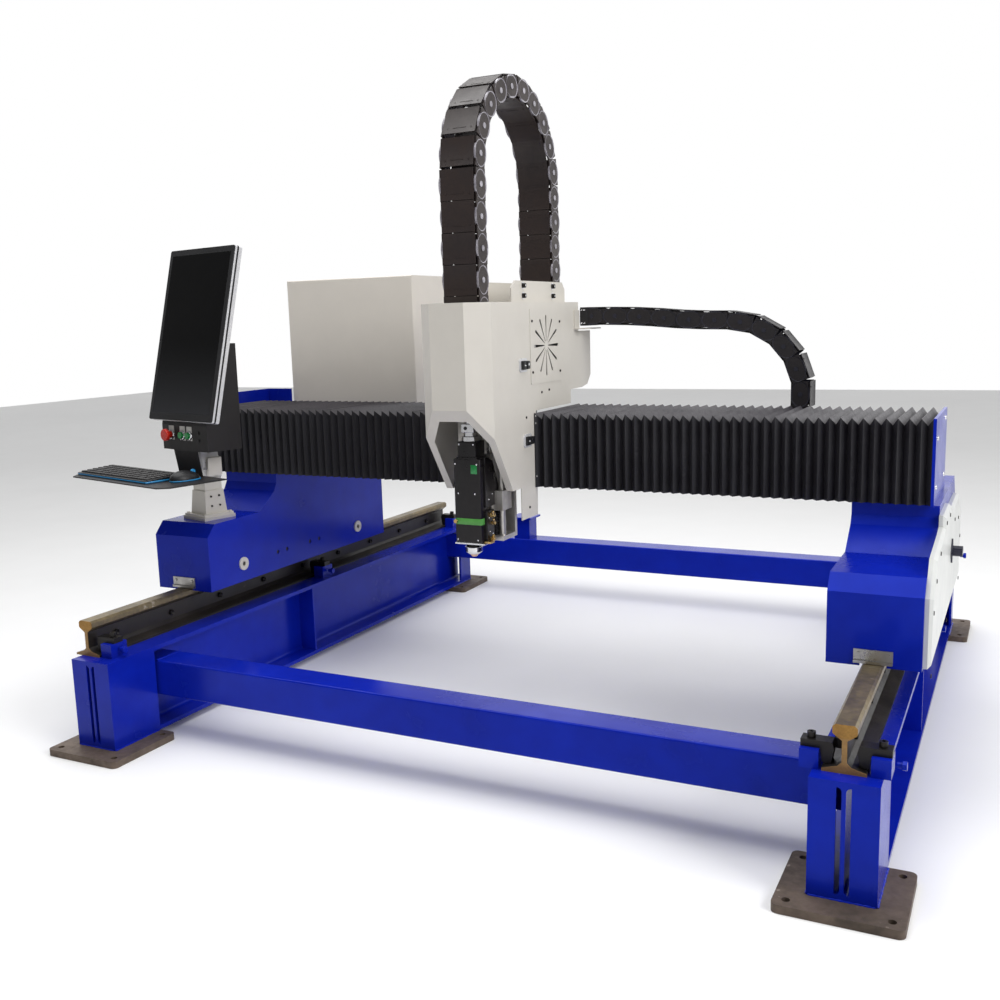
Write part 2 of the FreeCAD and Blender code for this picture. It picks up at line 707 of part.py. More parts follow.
def carriage(rail, inner_side):
    """A welded shell, open below, notched for the rail head, drilled for the axles."""
    half = CARRIAGE_WIDTH / 2
    outline = carriage_profile()
    shell = prism_yz(outline, rail - half, rail + half)
    hollow = inset(outline, CARRIAGE_WALL)
    hollow[0] = (hollow[0][0], carriage_bottom - 1)
    hollow[-1] = (hollow[-1][0], carriage_bottom - 1)
    shell = shell.cut(prism_yz(hollow, rail - half + CARRIAGE_WALL, rail + half - CARRIAGE_WALL))
    notch = RAIL_HEAD / 2 + RAIL_NOTCH_CLEARANCE
    shell = shell.cut(box(rail - notch, rail + notch, CARRIAGE_FRONT - 1, CARRIAGE_REAR + 1,
                          carriage_bottom - 1, rail_top + RAIL_NOTCH_CLEARANCE))
    for y in (FRONT_AXLE_Y, REAR_AXLE_Y):
        shell = shell.cut(cylinder(WHEEL_BORE_RADIUS, CARRIAGE_WIDTH + 2,
                                   Vector(rail - half - 1, y, axle_z), ALONG_X))
    inner = rail + inner_side * half
    start = min(inner, inner - inner_side * CARRIAGE_WALL) - 1
    for y in SIDE_HOLE_YS:
        shell = shell.cut(cylinder(SIDE_HOLE_RADIUS, CARRIAGE_WALL + 2, Vector(start, y, SIDE_HOLE_Z),
                                   ALONG_X))
    return shell


def wheel_axle(rail, y, inner_side):
    """A fixed axle through both cheeks, capped on the side that faces the work."""
    half = CARRIAGE_WIDTH / 2
    start = Vector(rail - half, y, axle_z)
    axle = cylinder(WHEEL_BORE_RADIUS, CARRIAGE_WIDTH, start, ALONG_X)
    face = Vector(rail + inner_side * half, y, axle_z)
    out = ALONG_X * inner_side
    cap = cylinder(AXLE_CAP_RADIUS, AXLE_CAP_THICKNESS, face, out)
    recess = face + out * (AXLE_CAP_THICKNESS - AXLE_RECESS_DEPTH)
    return axle.fuse(cap).cut(hexagon(AXLE_RECESS_RADIUS, AXLE_RECESS_DEPTH, recess, out))


def track_wheel(rail, y):
    """A double-flanged wheel turned from one blank."""
    tread = RAIL_HEAD / 2 + WHEEL_GAUGE_CLEARANCE
    outer = tread + WHEEL_FLANGE_WIDTH
    flange = WHEEL_RADIUS + WHEEL_FLANGE_HEIGHT
    bore = WHEEL_BORE_RADIUS + WHEEL_RUNNING_CLEARANCE
    hub = bore + WHEEL_HUB_CLEARANCE
    dish = WHEEL_FLANGE_WIDTH
    points = [(-outer, bore), (-outer, hub), (-outer + dish, hub + 2), (-outer + dish, WHEEL_RADIUS - 12),
              (-outer, WHEEL_RADIUS - 8), (-outer, flange - 2), (-outer + 2, flange), (-tread - 3, flange),
              (-tread, WHEEL_RADIUS), (tread, WHEEL_RADIUS), (tread + 3, flange), (outer - 2, flange),
              (outer, flange - 2), (outer, WHEEL_RADIUS - 8), (outer - dish, WHEEL_RADIUS - 12),
              (outer - dish, hub + 2), (outer, hub), (outer, bore)]
    wire = [Vector(rail + x, y, axle_z + r) for x, r in points]
    face = Part.Face(Part.makePolygon(wire + [wire[0]]))
    return face.revolve(Vector(rail, y, axle_z), ALONG_X, 360)


def rail_wiper(rail, y, facing):
    """A plate that hangs over the rail head at the end of a carriage, held by two screws."""
    half = WIPER_WIDTH / 2
    low = rail_top + WIPER_RAIL_GAP
    plate = box(rail - half, rail + half, min(y, y + facing * WIPER_THICKNESS),
                max(y, y + facing * WIPER_THICKNESS), low, low + WIPER_HEIGHT)
    lip = box(rail - half, rail + half, min(y + facing * WIPER_THICKNESS, y + facing * 9),
              max(y + facing * WIPER_THICKNESS, y + facing * 9), low, low + 7)
    plate = plate.fuse(lip).removeSplitter()
    for x in (rail - half + WIPER_SCREW_INSET, rail + half - WIPER_SCREW_INSET):
        at = Vector(x, y + facing * WIPER_THICKNESS, low + WIPER_HEIGHT - WIPER_SCREW_INSET)
        head = cylinder(WIPER_SCREW_RADIUS, WIPER_SCREW_HEIGHT, at, ALONG_Y * facing)
        plate = plate.fuse(head)
    return plate.removeSplitter()


def pinion_axis(rail):
    """The pinion's axis, a pitch radius and a little backlash beyond the rack's pitch line."""
    return rail - RAIL_WEB / 2 - RACK_THICKNESS - pinion_pitch_radius - BACKLASH_SHIFT


def pinion_base():
    return beam_top + RACK_BOTTOM + (RACK_HEIGHT - PINION_FACE) / 2


def track_pinion(rail):
    """The pinion and its shaft, which hangs from the gearbox beside the rail."""
    axis = pinion_axis(rail)
    outline = [(axis + x, PINION_Y + y) for x, y in pinion_outline(PINION_TEETH, math.pi / PINION_TEETH)]
    base = pinion_base()
    gear = prism_xy(outline, base, base + PINION_FACE)
    shaft_top = drive_plate_bottom() + DRIVE_PLATE_THICKNESS + GEARBOX_HEIGHT / 2
    shaft = cylinder(DRIVE_SHAFT_RADIUS, shaft_top - base, Vector(axis, PINION_Y, base), UP)
    return gear.fuse(shaft).removeSplitter()


def drive_plate_bottom():
    return carriage_bottom + 40.0


def drive_unit(rail):
    """Mounting plate across the carriage, gearbox and servo motor with a running bore."""
    axis = pinion_axis(rail)
    low = drive_plate_bottom()
    half = CARRIAGE_WIDTH / 2 - CARRIAGE_WALL
    reach = DRIVE_PLATE_DEPTH / 2
    plate = box(rail - half, rail + half, PINION_Y - reach, PINION_Y + reach, low, low + DRIVE_PLATE_THICKNESS)
    top = low + DRIVE_PLATE_THICKNESS
    gearbox_centre = max(axis, rail - half + GEARBOX_SIZE / 2)
    side = GEARBOX_SIZE / 2
    gearbox = box(gearbox_centre - side, gearbox_centre + side, PINION_Y - side, PINION_Y + side,
                  top, top + GEARBOX_HEIGHT)
    side = DRIVE_MOTOR_SIZE / 2
    motor = box(gearbox_centre - side, gearbox_centre + side, PINION_Y - side, PINION_Y + side,
                top + GEARBOX_HEIGHT, top + GEARBOX_HEIGHT + DRIVE_MOTOR_HEIGHT)
    motor = fillet_edges(motor, 6, upright)
    unit = plate.fuse([gearbox, motor]).removeSplitter()
    bore = cylinder(DRIVE_SHAFT_RADIUS + WHEEL_RUNNING_CLEARANCE,
                    DRIVE_PLATE_THICKNESS + GEARBOX_HEIGHT / 2 + 1 + SWIVEL_GAP,
                    Vector(axis, PINION_Y, low - 1), UP)
    return unit.cut(bore)


def side_cover():
    """A folded sheet cover, bevelled along its front and top, screwed to the right carriage."""
    x0 = RIGHT_RAIL_X + CARRIAGE_WIDTH / 2
    x1 = x0 + COVER_THICKNESS
    front = CARRIAGE_FRONT + COVER_FRONT_INSET
    face = carriage_bottom + CARRIAGE_FACE
    low = carriage_bottom + 4
    outline = [(front, low), (front, face - 4), (front + 72, face + 78), (COVER_NECK_FRONT - 60, face + 96),
               (COVER_NECK_FRONT, COVER_SHOULDER + 30), (COVER_NECK_FRONT, COVER_TOP),
               (COVER_NECK_REAR, COVER_TOP), (COVER_NECK_REAR + 36, COVER_SHOULDER + 34),
               (CARRIAGE_REAR - 150, COVER_SHOULDER + 34), (CARRIAGE_REAR - 12, CARRIAGE_SHELF - 10),
               (CARRIAGE_REAR - 12, low)]
    body = prism_yz(outline, x0, x1 - COVER_EDGE)
    small = inset(outline, COVER_EDGE)
    wires = []
    for points, x in ((outline, x1 - COVER_EDGE), (small, x1)):
        ring = [Vector(x, y, z) for y, z in points]
        wires.append(Part.makePolygon(ring + [ring[0]]))
    bevel = Part.makeLoft(wires, True, True)
    cover = body.fuse(bevel).removeSplitter()
    hollow = prism_yz(inset(outline, COVER_EDGE + COVER_SHEET), x0 - 1, x1 - COVER_SHEET)
    return cover.cut(hollow).fuse(cover_clamp()).removeSplitter()


def cover_clamp():
    """The wing grip on a square plate that clamps the cover to its stud."""
    x = RIGHT_RAIL_X + CARRIAGE_WIDTH / 2 + COVER_THICKNESS
    half = KNOB_PLATE / 2
    plate = prism_yz([(KNOB_Y - half, KNOB_Z), (KNOB_Y, KNOB_Z + half), (KNOB_Y + half, KNOB_Z),
                      (KNOB_Y, KNOB_Z - half)], x, x + 5)
    grip = cylinder(KNOB_RADIUS, KNOB_LENGTH, Vector(x + 5, KNOB_Y, KNOB_Z), ALONG_X)
    grip = grip.fuse(box(x + 5, x + 5 + KNOB_LENGTH, KNOB_Y - KNOB_RADIUS - 5, KNOB_Y + KNOB_RADIUS + 5,
                         KNOB_Z - 6, KNOB_Z + 6))
    return plate.fuse(grip).removeSplitter()


def crossbeam():
    beam = box(CROSSBEAM_LEFT, CROSSBEAM_RIGHT, CROSSBEAM_FRONT, CROSSBEAM_REAR,
               CROSSBEAM_BOTTOM, CROSSBEAM_TOP)
    wall = CROSSBEAM_WALL
    beam = beam.cut(box(CROSSBEAM_LEFT - 1, CROSSBEAM_RIGHT + 1, CROSSBEAM_FRONT + wall,
                        CROSSBEAM_REAR - wall, CROSSBEAM_BOTTOM + wall, CROSSBEAM_TOP - wall))
    return beam.fuse(beam_ends()).removeSplitter()


def beam_ends():
    """The plates that close the crossbeam and hold the bellows; the left one stands taller."""
    t = BEAM_END_THICKNESS
    bottom = CROSSBEAM_BOTTOM
    right = box(CROSSBEAM_RIGHT, CROSSBEAM_RIGHT + t, BELLOWS_FRONT, BELLOWS_REAR, bottom, BELLOWS_TOP)
    left = box(CROSSBEAM_LEFT - t, CROSSBEAM_LEFT, BELLOWS_FRONT, BELLOWS_REAR + 30, bottom, LEFT_END_TOP)
    back = box(CROSSBEAM_LEFT, CABINET_LEFT - 2, BELLOWS_REAR + 30 - t, BELLOWS_REAR + 30,
               bottom, LEFT_END_TOP)
    return [right, left, back]


def guide_outline(z):
    half, waist = GUIDE_WIDTH / 2, GUIDE_WAIST
    back = CROSSBEAM_FRONT
    front = back - GUIDE_HEIGHT
    return [(back, z - half), (back, z + half), (back - 7, z + half), (back - 10, z + half - waist),
            (front + 5, z + half), (front, z + half), (front, z - half),
            (front + 5, z - half), (back - 10, z - half + waist), (back - 7, z - half)]


def x_guides():
    return group([prism_yz(guide_outline(z), CROSSBEAM_LEFT + 10, CROSSBEAM_RIGHT - 10) for z in GUIDE_ZS])


def x_rack():
    """The crossbeam's rack, teeth down, between the two guides."""
    length = CROSSBEAM_RIGHT - CROSSBEAM_LEFT - 40
    points, teeth = rack_outline(length, RACK_THICKNESS)
    start = rack_start(teeth * pitch, CROSSBEAM_LEFT + 20, X_MOTOR_X)
    outline = [(start + x, X_RACK_Z + RACK_THICKNESS - y) for x, y in points]
    return prism_xz(outline, CROSSBEAM_FRONT - X_RACK_THICKNESS, CROSSBEAM_FRONT)


def bellows(x0, x1):
    """The folded cover over the beam's front and top, drawn as an angle with pleated faces."""
    count = max(2, round((x1 - x0) / BELLOWS_PITCH))
    step = (x1 - x0) / count
    front, top = [], []
    for i in range(count):
        for share, proud in ((0.0, 0.0), (0.5, BELLOWS_FOLD)):
            x = x0 + (i + share) * step
            front.append((x, BELLOWS_FRONT + BELLOWS_FOLD - proud))
            top.append((x, BELLOWS_TOP - BELLOWS_FOLD + proud))
    front.append((x1, BELLOWS_FRONT + BELLOWS_FOLD))
    top.append((x1, BELLOWS_TOP - BELLOWS_FOLD))
    inner_y = BELLOWS_FRONT + BELLOWS_DEPTH
    inner_z = BELLOWS_TOP - BELLOWS_DEPTH
    slab = prism_xy(front + [(x1, inner_y), (x0, inner_y)], BELLOWS_BOTTOM, inner_z)
    roof = prism_xz(top + [(x1, inner_z), (x0, inner_z)], inner_y, BELLOWS_REAR)
    return slab, roof


def bellows_cover(x0, x1):
    """Front and roof meet along a mitre where each keeps its own folds."""
    inner_y = BELLOWS_FRONT + BELLOWS_DEPTH
    inner_z = BELLOWS_TOP - BELLOWS_DEPTH
    slab, roof = bellows(x0, x1)
    corner = box(x0, x1, BELLOWS_FRONT + BELLOWS_FOLD, inner_y, inner_z, BELLOWS_TOP - BELLOWS_FOLD)
    return slab.fuse([corner, roof]).removeSplitter()


def cabinet():
    """A sheet cabinet, open at the rear where the door hangs, with a lip round the opening."""
    rear = CABINET_FRONT + CABINET_DEPTH
    t = CABINET_SHEET
    shell = box(CABINET_LEFT, CABINET_RIGHT, CABINET_FRONT, rear, CABINET_BOTTOM, CABINET_TOP)
    shell = fillet_edges(shell, 4, lambda e: abs(e.CenterOfMass.y - CABINET_FRONT) < 0.01)
    shell = shell.cut(box(CABINET_LEFT + t, CABINET_RIGHT - t, CABINET_FRONT + t, rear - t,
                          CABINET_BOTTOM + t, CABINET_TOP - t))
    lip = CABINET_LIP
    shell = shell.cut(box(CABINET_LEFT + lip, CABINET_RIGHT - lip, rear - t - 1, rear + 1,
                          CABINET_BOTTOM + lip, CABINET_TOP - lip))
    return shell.fuse(door_hinges()).removeSplitter()


def hinge_axis():
    return CABINET_LEFT + DOOR_HINGE_RADIUS, CABINET_FRONT + CABINET_DEPTH + DOOR_GAP + DOOR_HINGE_RADIUS


def hinge_levels():
    return [(CABINET_BOTTOM + 70, CABINET_BOTTOM + 130), (CABINET_TOP - 130, CABINET_TOP - 70)]


def door_hinges():
    """Two fixed knuckles with a pin, welded to the cabinet's rear edge."""
    x, y = hinge_axis()
    rear = CABINET_FRONT + CABINET_DEPTH
    pieces = []
    for low, high in hinge_levels():
        pin = cylinder(DOOR_HINGE_RADIUS / 2, high - low, Vector(x, y, low), UP)
        knuckle = cylinder(DOOR_HINGE_RADIUS, (high - low) / 2 - 0.5, Vector(x, y, low), UP)
        leaf = box(x - DOOR_HINGE_RADIUS, x + DOOR_HINGE_RADIUS, rear, y, low, (low + high) / 2 - 0.5)
        pieces += [knuckle, pin, leaf]
    return pieces


def cabinet_door():
    """The rear door: a shallow pan with its own knuckles and a flush quarter-turn latch."""
    x, y = hinge_axis()
    y0 = CABINET_FRONT + CABINET_DEPTH + DOOR_GAP
    left = CABINET_LEFT + 2 * DOOR_HINGE_RADIUS + DOOR_GAP
    door = box(left, CABINET_RIGHT, y0, y0 + DOOR_THICKNESS, CABINET_BOTTOM, CABINET_TOP)
    t = CABINET_SHEET
    door = door.cut(box(left + t, CABINET_RIGHT - t, y0 - 1, y0 + DOOR_THICKNESS - t,
                        CABINET_BOTTOM + t, CABINET_TOP - t))
    middle = (CABINET_BOTTOM + CABINET_TOP) / 2
    latch = cylinder(14, 6, Vector(CABINET_RIGHT - 40, y0 + DOOR_THICKNESS, middle), ALONG_Y)
    pieces = [latch]
    bore = DOOR_HINGE_RADIUS / 2 + WHEEL_RUNNING_CLEARANCE
    for low, high in hinge_levels():
        half = (low + high) / 2
        knuckle = cylinder(DOOR_HINGE_RADIUS, (high - low) / 2 - 0.5, Vector(x, y, half + 0.5), UP)
        leaf = box(x, left + 1, y, y + DOOR_HINGE_RADIUS, half + 0.5, high)
        ear = knuckle.fuse(leaf).cut(cylinder(bore, high - low, Vector(x, y, low), UP))
        pieces.append(ear)
    return door.fuse(pieces).removeSplitter()


def cabinet_bracket():
    """A welded bracket behind the crossbeam: two uprights, a shelf and a rib under the cabinet."""
    shelf_z = CABINET_BOTTOM
    t = BRACKET_SHELF
    rear = CABINET_FRONT + CABINET_DEPTH - 20
    pieces = [box(CABINET_LEFT + 20, CABINET_RIGHT - 20, CROSSBEAM_REAR, rear, shelf_z - t, shelf_z)]
    back = box(CABINET_LEFT + 20, CABINET_RIGHT - 20, CROSSBEAM_REAR, CROSSBEAM_REAR + BRACKET_THICKNESS,
               shelf_z, CROSSBEAM_TOP - 10)
    pieces.append(back)
    spacer = box(CABINET_LEFT + 40, CABINET_RIGHT - 40, CROSSBEAM_REAR + BRACKET_THICKNESS, CABINET_FRONT,
                 CROSSBEAM_TOP - 60, CROSSBEAM_TOP - 30)
    pieces.append(spacer)
    return pieces[0].fuse(pieces[1:]).removeSplitter()


def chain_tray():
    """The trough behind the crossbeam that the lower run of the X chain lies in."""
    x0, x1 = TRAY_LEFT, CROSSBEAM_RIGHT
    y0 = CROSSBEAM_REAR
    y1 = X_CHAIN_FRONT + X_CHAIN_WIDTH + TRAY_GAP + TRAY_THICKNESS
    z1 = tray_floor()
    z0 = z1 - TRAY_THICKNESS
    floor = box(x0, x1, y0, y1, z0, z1)
    rear_lip = box(x0, x1, y1 - TRAY_THICKNESS, y1, z1, z1 + TRAY_LIP)
    front_lip = box(x0, x1, y0, y0 + TRAY_THICKNESS, z1, z1 + TRAY_LIP)
    return floor.fuse([rear_lip, front_lip]).removeSplitter()


def tray_floor():
    return X_CHAIN_CENTRE_Z - X_CHAIN_RADIUS - X_CHAIN_HEIGHT / 2 - TRAY_GAP


def x_chain_lower():
    low = tray_floor() + TRAY_GAP
    run = box(X_CHAIN_FIXED_X, X_CHAIN_BEND_X - SWIVEL_GAP, X_CHAIN_FRONT,
              X_CHAIN_FRONT + X_CHAIN_WIDTH, low, low + X_CHAIN_HEIGHT)
    foot = box(X_CHAIN_FIXED_X - 30, X_CHAIN_FIXED_X, X_CHAIN_FRONT, X_CHAIN_FRONT + X_CHAIN_WIDTH,
               tray_floor(), low + X_CHAIN_HEIGHT)
    return run.fuse(foot).removeSplitter()


def gantry_nodes():
    wipers = []
    axles = []
    for rail, inner in ((LEFT_RAIL_X, 1), (RIGHT_RAIL_X, -1)):
        wipers += [rail_wiper(rail, CARRIAGE_FRONT, -1), rail_wiper(rail, CARRIAGE_REAR, 1)]
        axles += [wheel_axle(rail, FRONT_AXLE_Y, inner), wheel_axle(rail, REAR_AXLE_Y, inner)]
    return {
        "left_carriage": carriage(LEFT_RAIL_X, 1),
        "right_carriage": carriage(RIGHT_RAIL_X, -1),
        "rail_wipers": group(wipers),
        "wheel_axles": group(axles),
        "front_left_wheel": track_wheel(LEFT_RAIL_X, FRONT_AXLE_Y),
        "rear_left_wheel": track_wheel(LEFT_RAIL_X, REAR_AXLE_Y),
        "front_right_wheel": track_wheel(RIGHT_RAIL_X, FRONT_AXLE_Y),
        "rear_right_wheel": track_wheel(RIGHT_RAIL_X, REAR_AXLE_Y),
        "drive_motors": group([drive_unit(LEFT_RAIL_X), drive_unit(RIGHT_RAIL_X)]),
        "left_pinion": track_pinion(LEFT_RAIL_X),
        "right_pinion": track_pinion(RIGHT_RAIL_X),
        "side_cover": side_cover(),
        "crossbeam": crossbeam(),
        "x_guides": x_guides(),
        "x_rack": x_rack(),
        "left_bellows": bellows_cover(CROSSBEAM_LEFT, HEAD_LEFT - BELLOWS_HEAD_GAP),
        "right_bellows": bellows_cover(HEAD_RIGHT + BELLOWS_HEAD_GAP, CROSSBEAM_RIGHT),
        "cabinet": cabinet(),
        "cabinet_door": cabinet_door(),
        "cabinet_bracket": cabinet_bracket(),
        "chain_tray": chain_tray(),
        "x_chain_lower": x_chain_lower(),
    }


# ---------------------------------------------------------------- head carriage
def cover_plan():
    c = HEAD_CHAMFER
    return [(HEAD_LEFT, HEAD_REAR), (HEAD_LEFT, HEAD_FRONT + c), (HEAD_LEFT + c, HEAD_FRONT),
            (HEAD_RIGHT - c, HEAD_FRONT), (HEAD_RIGHT, HEAD_FRONT + c), (HEAD_RIGHT, HEAD_REAR)]


def cover_side():
    low = BELLOWS_TOP + HEAD_BEAM_GAP
    return [(HEAD_FRONT, HEAD_TOP), (HEAD_FRONT, HEAD_FACE_BOTTOM),
            (HEAD_FRONT + HEAD_CHAMFER, HEAD_SIDE_CORNER), (HEAD_SLANT_Y, HEAD_SLANT_Z),
            (HEAD_SKIRT_Y, HEAD_SLANT_Z), (HEAD_SKIRT_Y, HEAD_SKIRT_Z), (HEAD_SKIRT_REAR, HEAD_SKIRT_Z),
            (HEAD_SKIRT_REAR, low), (HEAD_BACK_Y, low), (HEAD_BACK_Y, HEAD_BACK_LOW),
            (HEAD_REAR - 80, HEAD_BACK_LOW), (HEAD_REAR - 30, HEAD_BACK_LOW + 8),
            (HEAD_REAR, HEAD_BACK_LOW + 40), (HEAD_REAR, HEAD_BACK_HIGH),
            (HEAD_BACK_STEP, HEAD_BACK_HIGH), (HEAD_BACK_STEP, HEAD_TOP)]


def head_cover():
    """The folded sheet cover: walls on the plan's sides, a roof, and a return round the opening."""
    t = HEAD_SHEET
    plan, side = cover_plan(), cover_side()
    outer = prism_xy(plan, HEAD_SKIRT_Z, HEAD_TOP)
    outer = outer.common(prism_yz(side, HEAD_LEFT, HEAD_RIGHT))
    hollow = prism_xy(inset(plan, t), HEAD_SKIRT_Z - 1, HEAD_TOP + 1)
    low = BELLOWS_TOP + HEAD_BEAM_GAP
    reach = [(HEAD_FRONT - 1, HEAD_SKIRT_Z - 1), (HEAD_FRONT - 1, HEAD_TOP - t),
             (HEAD_BACK_STEP - t, HEAD_TOP - t), (HEAD_BACK_STEP - t, HEAD_BACK_HIGH - t),
             (HEAD_REAR - t, HEAD_BACK_HIGH - t), (HEAD_REAR - t, HEAD_BACK_LOW + 40),
             (HEAD_REAR - 30 - t, HEAD_BACK_LOW + 8 + t), (HEAD_REAR - 80, HEAD_BACK_LOW + t),
             (HEAD_BACK_Y - 1, HEAD_BACK_LOW + t), (HEAD_BACK_Y - 1, low - 1),
             (HEAD_SKIRT_REAR, HEAD_SKIRT_Z - 1)]
    cover = outer.cut(hollow.common(prism_yz(reach, HEAD_LEFT, HEAD_RIGHT)))
    lip = [(HEAD_FRONT, HEAD_FACE_BOTTOM), (HEAD_FRONT + HEAD_CHAMFER, HEAD_SIDE_CORNER),
           (HEAD_SLANT_Y, HEAD_SLANT_Z), (HEAD_SKIRT_Y, HEAD_SLANT_Z)]
    raised = [(y + t * 0.8, z + t) for y, z in lip]
    strip = prism_yz(lip + raised[::-1], HEAD_LEFT, HEAD_RIGHT)
    core = prism_xy(inset(plan, HEAD_RETURN), HEAD_SKIRT_Z - 1, HEAD_TOP + 1)
    cover = cover.fuse(strip.common(outer).cut(core)).removeSplitter()
    gap = CHAIN_OPENING_GAP
    cover = cover.cut(box(Z_CHAIN_LEFT - gap, Z_CHAIN_LEFT + Z_CHAIN_WIDTH + gap, Z_CHAIN_FRONT - gap,
                          Z_CHAIN_FRONT + Z_CHAIN_HEIGHT + gap, HEAD_TOP - t - 1, HEAD_TOP + 1))
    centre = Vector(HEAD_RIGHT - t - 1, (VENT_FRONT + VENT_REAR) / 2, (VENT_BOTTOM + VENT_TOP) / 2)
    return cover.cut(cylinder(VENT_SLOT_OUTER + 3, t + 2, centre, ALONG_X))


def vent_plate():
    """A flat plate with a star of tapered slots over the cover's round fan opening."""
    plate = box(HEAD_RIGHT, HEAD_RIGHT + VENT_THICKNESS, VENT_FRONT, VENT_REAR, VENT_BOTTOM, VENT_TOP)
    plate = fillet_edges(plate, 6, lambda e: abs(e.Length - VENT_THICKNESS) < 1e-6)
    y, z = (VENT_FRONT + VENT_REAR) / 2, (VENT_BOTTOM + VENT_TOP) / 2
    half = VENT_SLOT_WIDTH / 2
    x0, x1 = HEAD_RIGHT - 1, HEAD_RIGHT + VENT_THICKNESS + 1
    for i in range(VENT_SLOTS):
        slot = prism_yz([(y + VENT_SLOT_INNER, z - 1.5), (y + VENT_SLOT_OUTER - half, z - half),
                         (y + VENT_SLOT_OUTER - half, z + half), (y + VENT_SLOT_INNER, z + 1.5)], x0, x1)
        end = cylinder(half, x1 - x0, Vector(x0, y + VENT_SLOT_OUTER - half, z), ALONG_X)
        slot = slot.fuse(end)
        slot.rotate(Vector(0, y, z), ALONG_X, 360.0 / VENT_SLOTS * i)
        plate = plate.cut(slot)
    return plate


def cover_latch(y, z):
    """A clasp screwed to the cover's side: a chamfered base, a body and a raised grip."""
    x = HEAD_RIGHT
    half_y, half_z = LATCH_LENGTH / 2, LATCH_HEIGHT / 2
    base = [(y - half_y, z - half_z + 9), (y - half_y + 9, z - half_z), (y + half_y, z - half_z),
            (y + half_y, z + half_z), (y - half_y + 9, z + half_z), (y - half_y, z + half_z - 9)]
    latch = prism_yz(base, x, x + 4)
    body = box(x + 4, x + LATCH_PROUD - 4, y - half_y + 10, y + half_y - 4, z - half_z + 7, z + half_z - 7)
    grip = box(x + LATCH_PROUD - 4, x + LATCH_PROUD, y - 4, y + half_y - 8, z - half_z + 10,
               z + half_z - 10)
    return latch.fuse([body, grip]).removeSplitter()


def chain_brackets():
    """The channel on the roof that carries the Z chain's fixed end, and the X chain's bracket."""
    x0, x1 = Z_CHAIN_LEFT - 4, Z_CHAIN_LEFT + Z_CHAIN_WIDTH + 6
    rear = Z_CHAIN_FRONT + Z_CHAIN_HEIGHT / 2 + 2 * Z_CHAIN_RADIUS + Z_CHAIN_HEIGHT / 2
    front = rear - 388
    top = Z_CHAIN_SEAT
    profile = [(front, HEAD_TOP), (front, top - 22), (front + 26, top), (rear - 8, top),
               (rear + 14, top - 22), (rear + 14, HEAD_TOP)]
    t = BRACKET_SHEET
    sides = [prism_yz(profile, x1 - t, x1), prism_yz(profile, x0, x0 + t)]
    seat = box(x0, x1, rear - 100, rear - 8, top - t, top)
    z_bracket = sides[0].fuse([sides[1], seat]).removeSplitter()
    mid = X_CHAIN_CENTRE_Z + X_CHAIN_RADIUS + X_CHAIN_RISE
    low = mid - X_CHAIN_HEIGHT / 2 - 12
    plate = box(HEAD_RIGHT, HEAD_RIGHT + t, HEAD_BACK_STEP - 40, HEAD_BACK_STEP, low, mid + 20)
    shelf = box(HEAD_RIGHT, HEAD_RIGHT + X_CHAIN_END, HEAD_BACK_STEP - 40, X_CHAIN_FRONT + X_CHAIN_WIDTH,
                low, low + t)
    x_bracket = plate.fuse(shelf).removeSplitter()
    return group([z_bracket, x_bracket])


def saddle():
    """The plate behind the cover with its four bearing blocks and the ribs that carry the Z axis."""
    x0 = HEAD_LEFT + HEAD_SHEET + SADDLE_SIDE_GAP
    x1 = HEAD_RIGHT - HEAD_SHEET - SADDLE_SIDE_GAP
    front = SADDLE_REAR - SADDLE_THICKNESS
    plate = box(x0, x1, front, SADDLE_REAR, SADDLE_BOTTOM, SADDLE_TOP)
    pieces = []
    clearance = BLOCK_CLEARANCE
    depth = CROSSBEAM_FRONT - 4 - SADDLE_REAR
    for z in GUIDE_ZS:
        for x in (x0 + BLOCK_INSET, x1 - BLOCK_INSET - BLOCK_LENGTH):
            block = box(x, x + BLOCK_LENGTH, SADDLE_REAR, SADDLE_REAR + depth,
                        z - BLOCK_HEIGHT / 2, z + BLOCK_HEIGHT / 2)
            slot = prism_yz(inset(guide_outline(z), -clearance), x - 1, x + BLOCK_LENGTH + 1)
            pieces.append(block.cut(slot))
    rib_rear = front
    for x in (Z_PLATE_LEFT, Z_PLATE_RIGHT - 10):
        pieces.append(box(x, x + 10, Z_PLATE_FRONT + Z_PLATE_THICKNESS, rib_rear, 760, 1060))
    plate = plate.fuse(pieces).removeSplitter()
    hole = cylinder(DRIVE_SHAFT_RADIUS + WHEEL_RUNNING_CLEARANCE, SADDLE_THICKNESS + 2,
                    Vector(X_MOTOR_X, front - 1, x_pinion_z()), ALONG_Y)
    return plate.cut(hole)


def x_pinion_z():
    return X_RACK_Z - pinion_pitch_radius - BACKLASH_SHIFT


